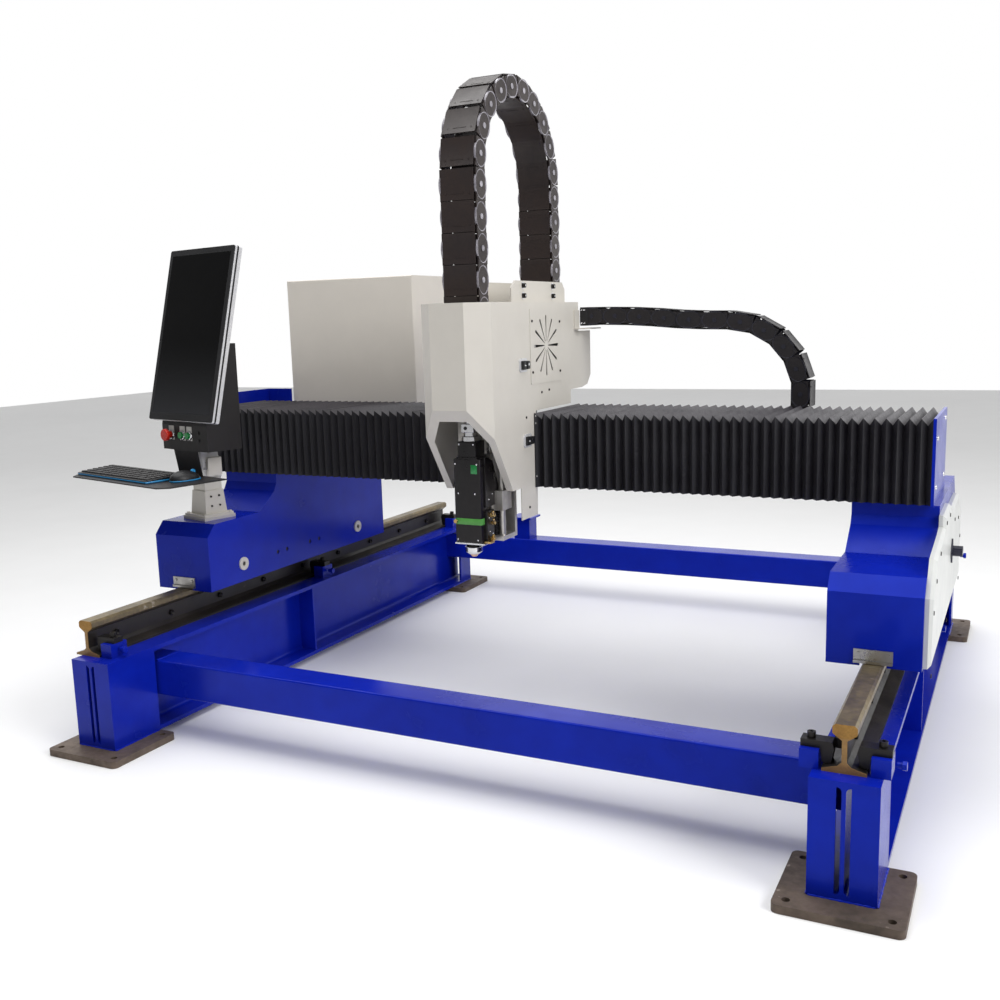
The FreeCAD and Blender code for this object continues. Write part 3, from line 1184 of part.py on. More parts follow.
def head_motors():
    """The X servo behind the Z plate and the Z servo over the screw."""
    rear = SADDLE_REAR - SADDLE_THICKNESS
    half = X_MOTOR_SIZE / 2
    z = x_pinion_z()
    x_motor = box(X_MOTOR_X - half, X_MOTOR_X + half, rear - X_MOTOR_LENGTH, rear, z - half, z + half)
    x_motor = fillet_edges(x_motor, 6, lambda e: abs(e.Length - X_MOTOR_LENGTH) < 1e-6)
    shaft = Vector(X_MOTOR_X, rear - 26, z)
    x_motor = x_motor.cut(cylinder(DRIVE_SHAFT_RADIUS + WHEEL_RUNNING_CLEARANCE, 27, shaft, ALONG_Y))
    half = Z_MOTOR_SIZE / 2
    middle = screw_x()
    z0 = Z_HEAD_Z + Z_FOOT_THICKNESS
    z_motor = box(middle - half, middle + half, ROD_Y - half, ROD_Y + half, z0, z0 + Z_MOTOR_HEIGHT)
    z_motor = fillet_edges(z_motor, 6, upright)
    bore = cylinder(SCREW_RADIUS + WHEEL_RUNNING_CLEARANCE, 31, Vector(middle, ROD_Y, z0 - 1), UP)
    return group([x_motor, z_motor.cut(bore)])


def screw_x():
    return (Z_PLATE_LEFT + Z_PLATE_RIGHT) / 2


def x_pinion():
    z = x_pinion_z()
    teeth = pinion_outline(PINION_TEETH, math.pi / 2 + math.pi / PINION_TEETH)
    y0 = CROSSBEAM_FRONT - X_RACK_THICKNESS + 1
    gear = prism_xz([(X_MOTOR_X + x, z + h) for x, h in teeth], y0, y0 + X_PINION_FACE)
    start = SADDLE_REAR - SADDLE_THICKNESS - 26 + SWIVEL_GAP
    shaft = cylinder(DRIVE_SHAFT_RADIUS, y0 - start + 1, Vector(X_MOTOR_X, start, z), ALONG_Y)
    return gear.fuse(shaft).removeSplitter()


def rod_xs():
    return Z_PLATE_LEFT + ROD_INSET, Z_PLATE_RIGHT - ROD_INSET


def z_guide():
    """The Z axis base: back plate, foot, head plate and two polished rods."""
    rear = Z_PLATE_FRONT + Z_PLATE_THICKNESS
    top = Z_HEAD_Z + Z_FOOT_THICKNESS
    back = box(Z_PLATE_LEFT, Z_PLATE_RIGHT, Z_PLATE_FRONT, rear, Z_FOOT_Z, top)
    foot = box(Z_PLATE_LEFT, Z_PLATE_RIGHT, Z_FOOT_FRONT, Z_PLATE_FRONT, Z_FOOT_Z,
               Z_FOOT_Z + Z_FOOT_THICKNESS)
    head = box(Z_PLATE_LEFT, Z_PLATE_RIGHT, Z_FOOT_FRONT, Z_PLATE_FRONT, Z_HEAD_Z, top)
    rods = [cylinder(ROD_RADIUS, top - Z_FOOT_Z, Vector(x, ROD_Y, Z_FOOT_Z), UP) for x in rod_xs()]
    guide = back.fuse([foot, head] + rods).removeSplitter()
    bore = cylinder(SCREW_RADIUS + WHEEL_RUNNING_CLEARANCE, top - Z_FOOT_Z + 2,
                    Vector(screw_x(), ROD_Y, Z_FOOT_Z - 1), UP)
    return guide.cut(bore)


def z_screw():
    top = Z_HEAD_Z + Z_FOOT_THICKNESS + 28
    return cylinder(SCREW_RADIUS, top - Z_FOOT_Z, Vector(screw_x(), ROD_Y, Z_FOOT_Z), UP)


def slide_block():
    """The Z slide: a bored block, the plate that carries the head and the arm for the chain."""
    block = box(Z_PLATE_LEFT, Z_PLATE_RIGHT, SLIDE_FRONT, SLIDE_REAR, SLIDE_BOTTOM,
                SLIDE_BOTTOM + SLIDE_HEIGHT)
    plate_y = LASER_FRONT + LASER_DEPTH
    plate = box(LASER_LEFT, LASER_LEFT + LASER_WIDTH, plate_y, SLIDE_FRONT, SLIDE_BOTTOM - 40,
                LASER_MOUNT_TOP)
    arm = box(Z_CHAIN_LEFT, Z_PLATE_LEFT - 2, plate_y, SLIDE_FRONT, LASER_MOUNT_TOP - 60,
              Z_CHAIN_LOWER_END)
    shelf = box(Z_CHAIN_LEFT, Z_CHAIN_LEFT + Z_CHAIN_WIDTH, Z_CHAIN_FRONT + 1, plate_y,
                Z_CHAIN_LOWER_END - 8, Z_CHAIN_LOWER_END)
    shelf = shelf.fuse(box(Z_CHAIN_LEFT, Z_PLATE_LEFT - 2, plate_y - 1, SLIDE_FRONT,
                           Z_CHAIN_LOWER_END - 8, Z_CHAIN_LOWER_END))
    slide = block.fuse([plate, arm, shelf]).removeSplitter()
    for x in rod_xs():
        slide = slide.cut(cylinder(ROD_RADIUS + ROD_CLEARANCE, SLIDE_HEIGHT + 2,
                                   Vector(x, ROD_Y, SLIDE_BOTTOM - 1), UP))
    return slide.cut(cylinder(SCREW_RADIUS + SCREW_HOLE_CLEARANCE, SLIDE_HEIGHT + 2,
                              Vector(screw_x(), ROD_Y, SLIDE_BOTTOM - 1), UP))


def laser_head():
    """The cutting head's housing, with its wedge-shaped rear side, collimator and fibre connector."""
    x0, x1 = LASER_LEFT, LASER_LEFT + LASER_WIDTH
    y0, y1 = LASER_FRONT, LASER_FRONT + LASER_DEPTH
    top = LASER_BOTTOM + LASER_HEIGHT
    body = box(x0, x1, y0, y1, LASER_BOTTOM, top)
    body = fillet_edges(body, LASER_CORNER, upright)
    middle = (x0 + x1) / 2
    half = COLLIMATOR_WIDTH / 2
    upper = box(middle - half, middle + half, y0 + 4, y0 + 4 + COLLIMATOR_WIDTH, top,
                top + COLLIMATOR_HEIGHT)
    axis = Vector(middle, y0 + 4 + half, top + COLLIMATOR_HEIGHT)
    connector = cylinder(CONNECTOR_RADIUS, CONNECTOR_HEIGHT * 0.4, axis, UP)
    neck = cylinder(CONNECTOR_RADIUS - 6, CONNECTOR_HEIGHT * 0.6, axis + UP * CONNECTOR_HEIGHT * 0.4, UP)
    wedge = prism_yz([(y1, 700), (y1 + 12, 700), (y1 + 12, 760), (y1, top + 4)], x1, x1 + LASER_CORNER)
    tongue = box(x1 - LASER_CORNER, x1 + LASER_CORNER, y0 + 20, y1, 700, top - 10)
    return body.fuse([upper, connector, neck, tongue, wedge]).removeSplitter()


def nozzle():
    """The nozzle holder and copper nozzle under the head, with a fine bore."""
    middle = LASER_LEFT + LASER_WIDTH / 2
    y = LASER_FRONT + 4 + COLLIMATOR_WIDTH / 2
    z1 = LASER_BOTTOM
    r = NOZZLE_RADIUS
    low = z1 - NOZZLE_HEIGHT
    points = [(NOZZLE_BORE_RADIUS, z1), (r - 4, z1), (r - 4, z1 - 10), (r, z1 - 12), (r, z1 - 25),
              (r - 3, z1 - 28), (16, z1 - 33), (NOZZLE_TIP_RADIUS + 5, z1 - 34),
              (NOZZLE_TIP_RADIUS, low), (NOZZLE_BORE_RADIUS, low)]
    ring = [Vector(middle + radius, y, z) for radius, z in points]
    return Part.Face(Part.makePolygon(ring + [ring[0]])).revolve(Vector(middle, y, 0), UP, 360)


def z_chain():
    """The vertical cable chain as one band: up from the slide, over, and down to the roof."""
    x0, x1 = Z_CHAIN_LEFT, Z_CHAIN_LEFT + Z_CHAIN_WIDTH
    h, r, cz = Z_CHAIN_HEIGHT, Z_CHAIN_RADIUS, Z_CHAIN_CENTRE_Z
    front = Z_CHAIN_FRONT
    cy = front + h / 2 + r
    front_leg = box(x0, x1, front, front + h, Z_CHAIN_LOWER_END, cz)
    rear_leg = box(x0, x1, cy + r - h / 2, cy + r + h / 2, Z_CHAIN_SEAT, cz)
    outer = cylinder(r + h / 2, x1 - x0, Vector(x0, cy, cz), ALONG_X)
    inner = cylinder(r - h / 2, x1 - x0, Vector(x0, cy, cz), ALONG_X)
    upper = box(x0, x1, cy - r - h, cy + r + h, cz, cz + r + h)
    bend = outer.cut(inner).common(upper)
    return bend.fuse([front_leg, rear_leg]).removeSplitter()


def x_chain_upper():
    """The upper run, a slightly arched band from the head's bracket to the bend."""
    h = X_CHAIN_HEIGHT / 2
    top = X_CHAIN_CENTRE_Z + X_CHAIN_RADIUS
    x0 = HEAD_RIGHT + BRACKET_SHEET
    x1 = X_CHAIN_BEND_X - SWIVEL_GAP
    rise = X_CHAIN_RISE
    middle = [(x0, top + rise), (x0 + 120, top + rise - 1), (x1 - 160, top + 7), (x1, top)]
    upper = [(x, z + h) for x, z in middle]
    lower = [(x, z - h) for x, z in reversed(middle)]
    return prism_xz(upper + lower, X_CHAIN_FRONT, X_CHAIN_FRONT + X_CHAIN_WIDTH)


def x_chain_bend():
    h, r = X_CHAIN_HEIGHT / 2, X_CHAIN_RADIUS
    centre = Vector(X_CHAIN_BEND_X, X_CHAIN_FRONT, X_CHAIN_CENTRE_Z)
    ring = cylinder(r + h, X_CHAIN_WIDTH, centre, ALONG_Y)
    ring = ring.cut(cylinder(r - h, X_CHAIN_WIDTH, centre, ALONG_Y))
    side = box(X_CHAIN_BEND_X, X_CHAIN_BEND_X + r + h + 1, X_CHAIN_FRONT, X_CHAIN_FRONT + X_CHAIN_WIDTH,
               X_CHAIN_CENTRE_Z - r - h - 1, X_CHAIN_CENTRE_Z + r + h + 1)
    return ring.common(side)


def head_nodes():
    return {
        "saddle": saddle(),
        "head_cover": head_cover(),
        "vent_plate": vent_plate(),
        "cover_latches": group([cover_latch(y, z) for y, z in LATCH_PLACES]),
        "chain_brackets": chain_brackets(),
        "head_motors": head_motors(),
        "x_pinion": x_pinion(),
        "z_guide": z_guide(),
        "z_screw": z_screw(),
        "slide_block": slide_block(),
        "laser_head": laser_head(),
        "nozzle": nozzle(),
        "z_chain": z_chain(),
        "x_chain_upper": x_chain_upper(),
        "x_chain_bend": x_chain_bend(),
    }


# ---------------------------------------------------------------- operator console
def stand():
    """A base plate with bolts, a tapered square column and the bore for the swivel pin."""
    base_z = CARRIAGE_SHELF
    half = STAND_BASE / 2
    top = base_z + STAND_BASE_THICKNESS
    base = box(-half, half, -half, half, base_z, base_z + STAND_BASE_THICKNESS * 0.6)
    step = half - 4
    base = base.fuse(box(-step, step, -step, step, base_z + STAND_BASE_THICKNESS * 0.6, top))
    foot, neck = STAND_FOOT / 2, STAND_NECK / 2
    rings = []
    for size, z in ((foot, top), (neck, STAND_TAPER_TOP)):
        ring = [Vector(-size, -size, z), Vector(size, -size, z), Vector(size, size, z),
                Vector(-size, size, z)]
        rings.append(Part.makePolygon(ring + [ring[0]]))
    column = Part.makeLoft(rings, True, True)
    collar = box(-neck + 3, neck - 3, -neck + 3, neck - 3, STAND_TAPER_TOP, STAND_TOP)
    body = base.fuse([column, collar]).removeSplitter()
    body = body.cut(cylinder(SWIVEL_PIN_RADIUS + SWIVEL_CLEARANCE, SWIVEL_PIN_LENGTH + SWIVEL_GAP,
                             Vector(0, 0, STAND_TOP - SWIVEL_PIN_LENGTH - SWIVEL_GAP), UP))
    place = half - STAND_BOLT_INSET
    for x in (-place, place):
        for y in (-place, place):
            head = cylinder(STAND_BOLT_RADIUS, 4, Vector(x, y, top), UP)
            body = body.fuse(head)
    return body.removeSplitter()


def swivel_mount():
    """The cast arm of the console: pin, disc and a neck that leans up to the box."""
    low = STAND_TOP + SWIVEL_GAP
    pin = cylinder(SWIVEL_PIN_RADIUS, SWIVEL_PIN_LENGTH, Vector(0, 0, low - SWIVEL_PIN_LENGTH), UP)
    disc = cylinder(SWIVEL_DISC_RADIUS, SWIVEL_DISC_THICKNESS, Vector(0, 0, low), UP)
    z0 = low + SWIVEL_DISC_THICKNESS
    rings = []
    for half_x, half_y, dx, dy, z in ((33, 36, 0, 0, z0), (36, 40, 4, -6, z0 + 30),
                                      (40, 34, 10, -18, 820.0)):
        ring = [Vector(dx - half_x, dy - half_y, z), Vector(dx + half_x, dy - half_y, z),
                Vector(dx + half_x, dy + half_y, z), Vector(dx - half_x, dy + half_y, z)]
        rings.append(Part.makePolygon(ring + [ring[0]]))
    neck = Part.makeLoft(rings, True, True)
    cap = box(10 - 44, 10 + 44, -18 - 38, -18 + 38, 820.0, BOX_BOTTOM)
    return disc.fuse([pin, neck, cap]).removeSplitter()


def box_outline():
    lean = (BOX_TOP - BOX_PANEL_TOP) * math.tan(math.radians(MONITOR_TILT))
    return [(BOX_FRONT, BOX_BOTTOM), (BOX_FRONT, BOX_PANEL_TOP), (BOX_FRONT + lean, BOX_TOP),
            (BOX_REAR, BOX_TOP), (BOX_REAR, BOX_BOTTOM)]


def control_box():
    """A folded box behind the monitor: hollow, with its button holes and collars."""
    outline = box_outline()
    shell = prism_yz(outline, BOX_LEFT, BOX_RIGHT)
    shell = shell.cut(prism_yz(inset(outline, BOX_WALL), BOX_LEFT + BOX_WALL, BOX_RIGHT - BOX_WALL))
    out = ALONG_Y * -1
    for i, x in enumerate(BUTTON_XS):
        stem = ESTOP_STEM_RADIUS if i == 0 else BUTTON_RADIUS
        face = Vector(x, BOX_FRONT, BUTTON_Z)
        collar = cylinder(BUTTON_COLLAR_RADIUS, BUTTON_COLLAR_THICKNESS, face, out)
        guide = cylinder(BUTTON_COLLAR_RADIUS, BUTTON_STEM, Vector(x, BOX_FRONT + BUTTON_STEM, BUTTON_Z), out)
        shell = shell.fuse([collar, guide])
        bore = cylinder(stem + BUTTON_CLEARANCE, BUTTON_STEM + BUTTON_COLLAR_THICKNESS + 2,
                        Vector(x, BOX_FRONT + BUTTON_STEM + 1, BUTTON_Z), out)
        shell = shell.cut(bore)
    return shell.removeSplitter()


def push_button(x):
    """A flat button in its collar, free to travel inwards."""
    start = Vector(x, BOX_FRONT + BUTTON_STEM - BUTTON_TRAVEL - 2, BUTTON_Z)
    length = BUTTON_STEM - BUTTON_TRAVEL - 2 + BUTTON_COLLAR_THICKNESS + BUTTON_PROUD
    button = cylinder(BUTTON_RADIUS, length, start, ALONG_Y * -1)
    rim = [e for e in button.Edges if abs(e.CenterOfMass.y - (start.y - length)) < 0.01]
    return button.makeFillet(1.5, rim)


def estop_button(x):
    """A mushroom head on its stem."""
    start = Vector(x, BOX_FRONT + BUTTON_STEM - BUTTON_TRAVEL - 2, BUTTON_Z)
    face = BUTTON_COLLAR_THICKNESS + ESTOP_STAND_OFF
    length = BUTTON_STEM - BUTTON_TRAVEL - 2 + face
    stem = cylinder(ESTOP_STEM_RADIUS, length, start, ALONG_Y * -1)
    head_start = Vector(x, BOX_FRONT - face + 1, BUTTON_Z)
    head = cylinder(ESTOP_HEAD_RADIUS, ESTOP_HEAD_THICKNESS, head_start, ALONG_Y * -1)
    rims = [e for e in head.Edges if e.Length > 50 and e.CenterOfMass.y < head_start.y + 1]
    head = head.makeFillet(4, [e for e in rims if len(e.Vertexes) == 1 or e.Closed])
    return stem.fuse(head).removeSplitter()


def lean_back(shape):
    """Tilts a piece drawn upright about the panel's top front edge, so its back lies on the box."""
    copy = shape.copy()
    copy.rotate(Vector(0, BOX_FRONT, BOX_PANEL_TOP), ALONG_X, -MONITOR_TILT)
    return copy


def monitor():
    """The monitor's case, drawn upright with its back at the box's front, then leaned back."""
    x0 = MONITOR_CENTRE_X - MONITOR_WIDTH / 2
    rise = (MONITOR_CENTRE_Z - BOX_PANEL_TOP) / math.cos(math.radians(MONITOR_TILT))
    z0 = BOX_PANEL_TOP + rise - MONITOR_HEIGHT / 2
    y1 = BOX_FRONT
    y0 = y1 - MONITOR_THICKNESS
    case = box(x0, x0 + MONITOR_WIDTH, y0, y1, z0, z0 + MONITOR_HEIGHT)
    case = fillet_edges(case, 6, lambda e: abs(e.Length - MONITOR_THICKNESS) < 1e-6)
    rim = MONITOR_RIM
    return lean_back(case.cut(box(x0 + rim, x0 + MONITOR_WIDTH - rim, y0 - 1, y0 + SCREEN_THICKNESS,
                                  z0 + rim, z0 + MONITOR_HEIGHT - rim)))


def screen():
    """The glass in the monitor's front recess."""
    rim = MONITOR_RIM
    x0 = MONITOR_CENTRE_X - MONITOR_WIDTH / 2
    rise = (MONITOR_CENTRE_Z - BOX_PANEL_TOP) / math.cos(math.radians(MONITOR_TILT))
    z0 = BOX_PANEL_TOP + rise - MONITOR_HEIGHT / 2
    y0 = BOX_FRONT - MONITOR_THICKNESS
    glass = box(x0 + rim, x0 + MONITOR_WIDTH - rim, y0, y0 + SCREEN_THICKNESS, z0 + rim,
                z0 + MONITOR_HEIGHT - rim)
    return lean_back(glass)


def keyboard_tray():
    """A thin plate with cut front corners, hung from the box by a folded arm."""
    z1 = TRAY_TOP
    z0 = z1 - CONSOLE_TRAY_THICKNESS
    c = TRAY_CORNER
    outline = [(TRAY_X0 + c, TRAY_Y0), (TRAY_X1 - c, TRAY_Y0), (TRAY_X1, TRAY_Y0 + c), (TRAY_X1, TRAY_Y1),
               (TRAY_X0, TRAY_Y1), (TRAY_X0, TRAY_Y0 + c)]
    plate = prism_xy(outline, z0, z1)
    t = BOX_WALL
    front = BOX_FRONT
    x0, x1 = ARM_X - ARM_WIDTH / 2, ARM_X + ARM_WIDTH / 2
    arm_foot = TRAY_Y1 - 10
    arm = prism_yz([(front + 2, BOX_BOTTOM), (front + 2 + t, BOX_BOTTOM), (arm_foot, z1),
                    (arm_foot - t, z1)], x0, x1)
    flange = box(x0, x1, front + 2, front + 30, BOX_BOTTOM - t, BOX_BOTTOM)
    return plate.fuse([arm, flange]).removeSplitter()


def keyboard():
    """A wedge with a raised key field, resting on the tray."""
    x0, x1 = KEYBOARD_X - KEYBOARD_WIDTH / 2, KEYBOARD_X + KEYBOARD_WIDTH / 2
    y0, y1 = KEYBOARD_Y - KEYBOARD_DEPTH / 2, KEYBOARD_Y + KEYBOARD_DEPTH / 2
    z = TRAY_TOP
    profile = [(y0, z), (y0, z + KEYBOARD_FRONT_HEIGHT), (y1, z + KEYBOARD_REAR_HEIGHT), (y1, z)]
    return prism_yz(profile, x0, x1)


def mouse():
    """A low domed body with rounded ends."""
    half = MOUSE_WIDTH / 2
    y0 = MOUSE_Y - MOUSE_LENGTH / 2
    body = box(MOUSE_X - half, MOUSE_X + half, y0, y0 + MOUSE_LENGTH, TRAY_TOP, TRAY_TOP + MOUSE_HEIGHT)
    body = fillet_edges(body, half * 0.8, upright)
    top = [e for e in body.Edges if abs(e.CenterOfMass.z - TRAY_TOP - MOUSE_HEIGHT) < 0.01]
    return body.makeFillet(MOUSE_HEIGHT * 0.45, top)


def console_nodes():
    estop_x, start_x, stop_x = BUTTON_XS
    pieces = {
        "stand": stand(),
        "swivel_mount": swivel_mount(),
        "control_box": control_box(),
        "monitor": monitor(),
        "screen": screen(),
        "keyboard_tray": keyboard_tray(),
        "keyboard": keyboard(),
        "mouse": mouse(),
        "estop_button": estop_button(estop_x),
        "start_button": push_button(start_x),
        "stop_button": push_button(stop_x),
    }
    return {name: turned(shape, CONSOLE_YAW, CONSOLE_X, CONSOLE_Y) for name, shape in pieces.items()}


def frame_shift(nodes):
    """From the layout's origin to the bottom centre of the whole machine's box."""
    bounds = group(list(nodes.values())).BoundBox
    return Vector(-(bounds.XMin + bounds.XMax) / 2, -(bounds.YMin + bounds.YMax) / 2, -bounds.ZMin)


def build():
    nodes = {}
    nodes.update(track_nodes())
    nodes.update(gantry_nodes())
    nodes.update(head_nodes())
    nodes.update(console_nodes())
    shift = frame_shift(nodes)
    for shape in nodes.values():
        shape.translate(shift)
    return nodes, shift


nodes, shift = build()
os.makedirs("parts", exist_ok=True)
for name, shape in nodes.items():
    shape.exportStep("parts/" + name + ".step")
    print(name, len(shape.Solids), "valid" if shape.isValid() else "NOT VALID")
print("shift", round(shift.x, 3), round(shift.y, 3), round(shift.z, 3))
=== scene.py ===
import math
import bpy
import bmesh
from mathutils import Matrix, Vector


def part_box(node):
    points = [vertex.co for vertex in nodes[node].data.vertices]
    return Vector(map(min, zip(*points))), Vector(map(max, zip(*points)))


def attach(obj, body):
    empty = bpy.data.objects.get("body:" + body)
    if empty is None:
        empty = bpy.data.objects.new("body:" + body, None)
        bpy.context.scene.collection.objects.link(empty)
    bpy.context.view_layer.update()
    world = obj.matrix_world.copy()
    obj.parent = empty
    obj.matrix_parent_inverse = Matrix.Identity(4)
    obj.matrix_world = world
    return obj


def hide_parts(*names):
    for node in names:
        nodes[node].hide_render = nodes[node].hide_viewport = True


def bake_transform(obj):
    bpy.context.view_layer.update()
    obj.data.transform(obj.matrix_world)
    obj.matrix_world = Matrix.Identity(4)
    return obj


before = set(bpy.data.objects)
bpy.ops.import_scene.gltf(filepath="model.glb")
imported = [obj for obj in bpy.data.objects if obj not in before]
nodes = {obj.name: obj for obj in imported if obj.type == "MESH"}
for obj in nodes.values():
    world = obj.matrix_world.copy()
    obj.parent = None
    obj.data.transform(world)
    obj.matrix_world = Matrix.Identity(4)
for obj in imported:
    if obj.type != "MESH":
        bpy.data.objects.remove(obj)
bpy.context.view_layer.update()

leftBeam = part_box("left_beam")
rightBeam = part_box("right_beam")
midX = (leftBeam[0].x + rightBeam[1].x) / 2
frontY = leftBeam[0].y


def place(x, y, z):
    # machine layout in mm, from the middle between the beams, their front end and the floor
    return Vector((midX + x / 1000, frontY + y / 1000, z / 1000))


consoleTurn = Matrix.Translation(place(-1104, 600, 0)) @ Matrix.Rotation(math.radians(-14), 4, "Z")


# camera, light and floor
view = {"sensor": 36, "lens": 38.53, "reach": 60, "spot": (1365.1, -2148.2, 1238.9),
        "right": (0.89650244, 0.44216432, -0.02782239), "down": (0.0494459, -0.16226444, -0.98550766),
        "ahead": (-0.44027092, 0.88213432, -0.16733368)}


def aimCamera():
    data = bpy.data.cameras.new("camera")
    data.sensor_width, data.lens, data.clip_end = view["sensor"], view["lens"], view["reach"]
    camera = bpy.data.objects.new("camera", data)
    bpy.context.scene.collection.objects.link(camera)
    turn = Matrix((Vector(view["right"]), -Vector(view["down"]),
                   -Vector(view["ahead"]))).transposed().to_4x4()
    camera.matrix_world = Matrix.Translation(place(*view["spot"])) @ turn
    bpy.context.scene.camera = camera


def softBox(name, spot, aim, size, power):
    data = bpy.data.lights.new(name, "AREA")
    data.shape = "RECTANGLE"
    data.size, data.size_y = size
    data.energy = power
    lamp = bpy.data.objects.new(name, data)
    bpy.context.scene.collection.objects.link(lamp)
    lamp.location = spot
    lamp.rotation_euler = (Vector(aim) - Vector(spot)).to_track_quat("-Z", "Y").to_euler()


room = {"backdropTo": (-0.2, 0.9, 0.38), "backdropFade": (0.2, 0.62, 0.24, 0.98),
        "key": ((4.6, -1.6, 2.9), (0.0, 0.0, 0.7), (2.8, 2.2), 150),
        "top": ((-0.6, -0.6, 4.2), (-0.2, 0.0, 0.5), (4.4, 3.8), 150)}


def lightRoom():
    # a pale backdrop ahead of the camera and a dim room behind it, so dark paint stays dark
    world = bpy.data.worlds.new("studio")
    world.use_nodes = True
    tree = world.node_tree
    backdrop = tree.nodes["Background"]
    direction = tree.nodes.new("ShaderNodeTexCoord").outputs["Generated"]
    toward = heightAlong(tree, direction, room["backdropTo"])
    glow = addNode(tree, "ShaderNodeMapRange", interpolation_type="SMOOTHSTEP")
    tree.links.new(toward, glow.inputs["Value"])
    for name, value in zip(("From Min", "From Max", "To Min", "To Max"), room["backdropFade"]):
        glow.inputs[name].default_value = value
    seen = tree.nodes.new("ShaderNodeLightPath").outputs["Is Camera Ray"]
    tree.links.new(mathNode(tree, "MAXIMUM", glow.outputs["Result"], seen), backdrop.inputs["Strength"])
    backdrop.inputs["Color"].default_value = (1, 1, 1, 1)
    bpy.context.scene.world = world
    bpy.context.scene.view_settings.view_transform = "Standard"
    for name in ("key", "top"):
        softBox(name + "Light", *room[name])
    bm = bmesh.new()
    bmesh.ops.create_grid(bm, x_segments=4, y_segments=4, size=14)
    floor = finishPiece("floor", bm, [finishes["floorPale"]])


# node groups shared by the finishes
def newGroup(name, ins, outs):
    tree = bpy.data.node_groups.new(name, "ShaderNodeTree")
    for label, kind, value in ins:
        socket = tree.interface.new_socket(name=label, in_out="INPUT", socket_type=kind)
        if value is not None:
            socket.default_value = value
    for label, kind in outs:
        tree.interface.new_socket(name=label, in_out="OUTPUT", socket_type=kind)
    return tree, tree.nodes.new("NodeGroupInput"), tree.nodes.new("NodeGroupOutput")


def addNode(tree, kind, **values):
    node = tree.nodes.new(kind)
    for key, value in values.items():
        if key in node.inputs:
            node.inputs[key].default_value = value
        else:
            setattr(node, key, value)
    return node


def feed(tree, socket, value):
    # a plain value is set, an output is linked
    if isinstance(value, (int, float, tuple)):
        socket.default_value = value
    else:
        tree.links.new(value, socket)


def noiseNode(tree, vector, scale, detail=4.0, rough=0.55):
    noise = addNode(tree, "ShaderNodeTexNoise", Detail=detail, Roughness=rough)
    tree.links.new(vector, noise.inputs["Vector"])
    feed(tree, noise.inputs["Scale"], scale)
    return noise.outputs["Fac"]


def rampNode(tree, source, low, high):
    ramp = addNode(tree, "ShaderNodeMapRange", clamp=True)
    tree.links.new(source, ramp.inputs["Value"])
    for name, value in (("From Min", low), ("From Max", high)):
        feed(tree, ramp.inputs[name], value)
    return ramp.outputs["Result"]


def mathNode(tree, operation, a, b=None):
    node = addNode(tree, "ShaderNodeMath", operation=operation)
    for i, value in enumerate((a, b)):
        if value is not None:
            feed(tree, node.inputs[i], value)
    return node.outputs[0]


def mixValues(tree, a, shareA, b, shareB):
    return mathNode(tree, "ADD", mathNode(tree, "MULTIPLY", a, shareA),
                    mathNode(tree, "MULTIPLY", b, shareB))


def mixNode(tree, factor, a, b):
    mix = addNode(tree, "ShaderNodeMix", data_type="RGBA")
    for socket, value in ((mix.inputs[0], factor), (mix.inputs[6], a), (mix.inputs[7], b)):
        feed(tree, socket, value)
    return mix.outputs[2]


def buildToneGroup():
    # broad and fine drift between two colours
    tree, entry, exit = newGroup("toneDrift", [
        ("Vector", "NodeSocketVector", None), ("Color A", "NodeSocketColor", None),
        ("Color B", "NodeSocketColor", None), ("Scale", "NodeSocketFloat", 3.0)],
        [("Color", "NodeSocketColor"), ("Mask", "NodeSocketFloat")])
    broad = noiseNode(tree, entry.outputs["Vector"], entry.outputs["Scale"])
    fine = noiseNode(tree, entry.outputs["Vector"], mathNode(tree, "MULTIPLY", entry.outputs["Scale"], 9.0),
                     6.0)
    both = mixValues(tree, broad, 0.65, fine, 0.35)
    mask = rampNode(tree, both, 0.36, 0.64)
    tree.links.new(mixNode(tree, mask, entry.outputs["Color A"], entry.outputs["Color B"]),
                   exit.inputs["Color"])
    tree.links.new(mask, exit.inputs["Mask"])
    return tree


def buildWearGroup():
    # sparse scuffs and scratches: 1 where the surface is rubbed
    tree, entry, exit = newGroup("rubbedSpots", [
        ("Vector", "NodeSocketVector", None), ("Scale", "NodeSocketFloat", 14.0),
        ("Amount", "NodeSocketFloat", 0.2)], [("Mask", "NodeSocketFloat")])
    spots = noiseNode(tree, entry.outputs["Vector"], entry.outputs["Scale"], 8.0, 0.7)
    patches = noiseNode(tree, entry.outputs["Vector"],
                        mathNode(tree, "MULTIPLY", entry.outputs["Scale"], 0.17), 2.0)
    edge = mathNode(tree, "SUBTRACT", 0.74, mathNode(tree, "MULTIPLY", entry.outputs["Amount"], 0.3))
    both = mixValues(tree, spots, 0.72, patches, 0.28)
    mask = rampNode(tree, both, edge, mathNode(tree, "ADD", edge, 0.05))
    tree.links.new(mask, exit.inputs["Mask"])
    return tree


def buildGrainGroup():
    # surface height: fine grain over a slower swell
    tree, entry, exit = newGroup("surfaceGrain", [
        ("Vector", "NodeSocketVector", None), ("Fine", "NodeSocketFloat", 900.0),
        ("Swell", "NodeSocketFloat", 30.0), ("Share", "NodeSocketFloat", 0.5)],
        [("Height", "NodeSocketFloat")])
    fine = noiseNode(tree, entry.outputs["Vector"], entry.outputs["Fine"], 2.0)
    swell = noiseNode(tree, entry.outputs["Vector"], entry.outputs["Swell"], 2.0)
    share = entry.outputs["Share"]
    rest = mathNode(tree, "SUBTRACT", 1.0, share)
    tree.links.new(mixValues(tree, fine, share, swell, rest), exit.inputs["Height"])
    return tree


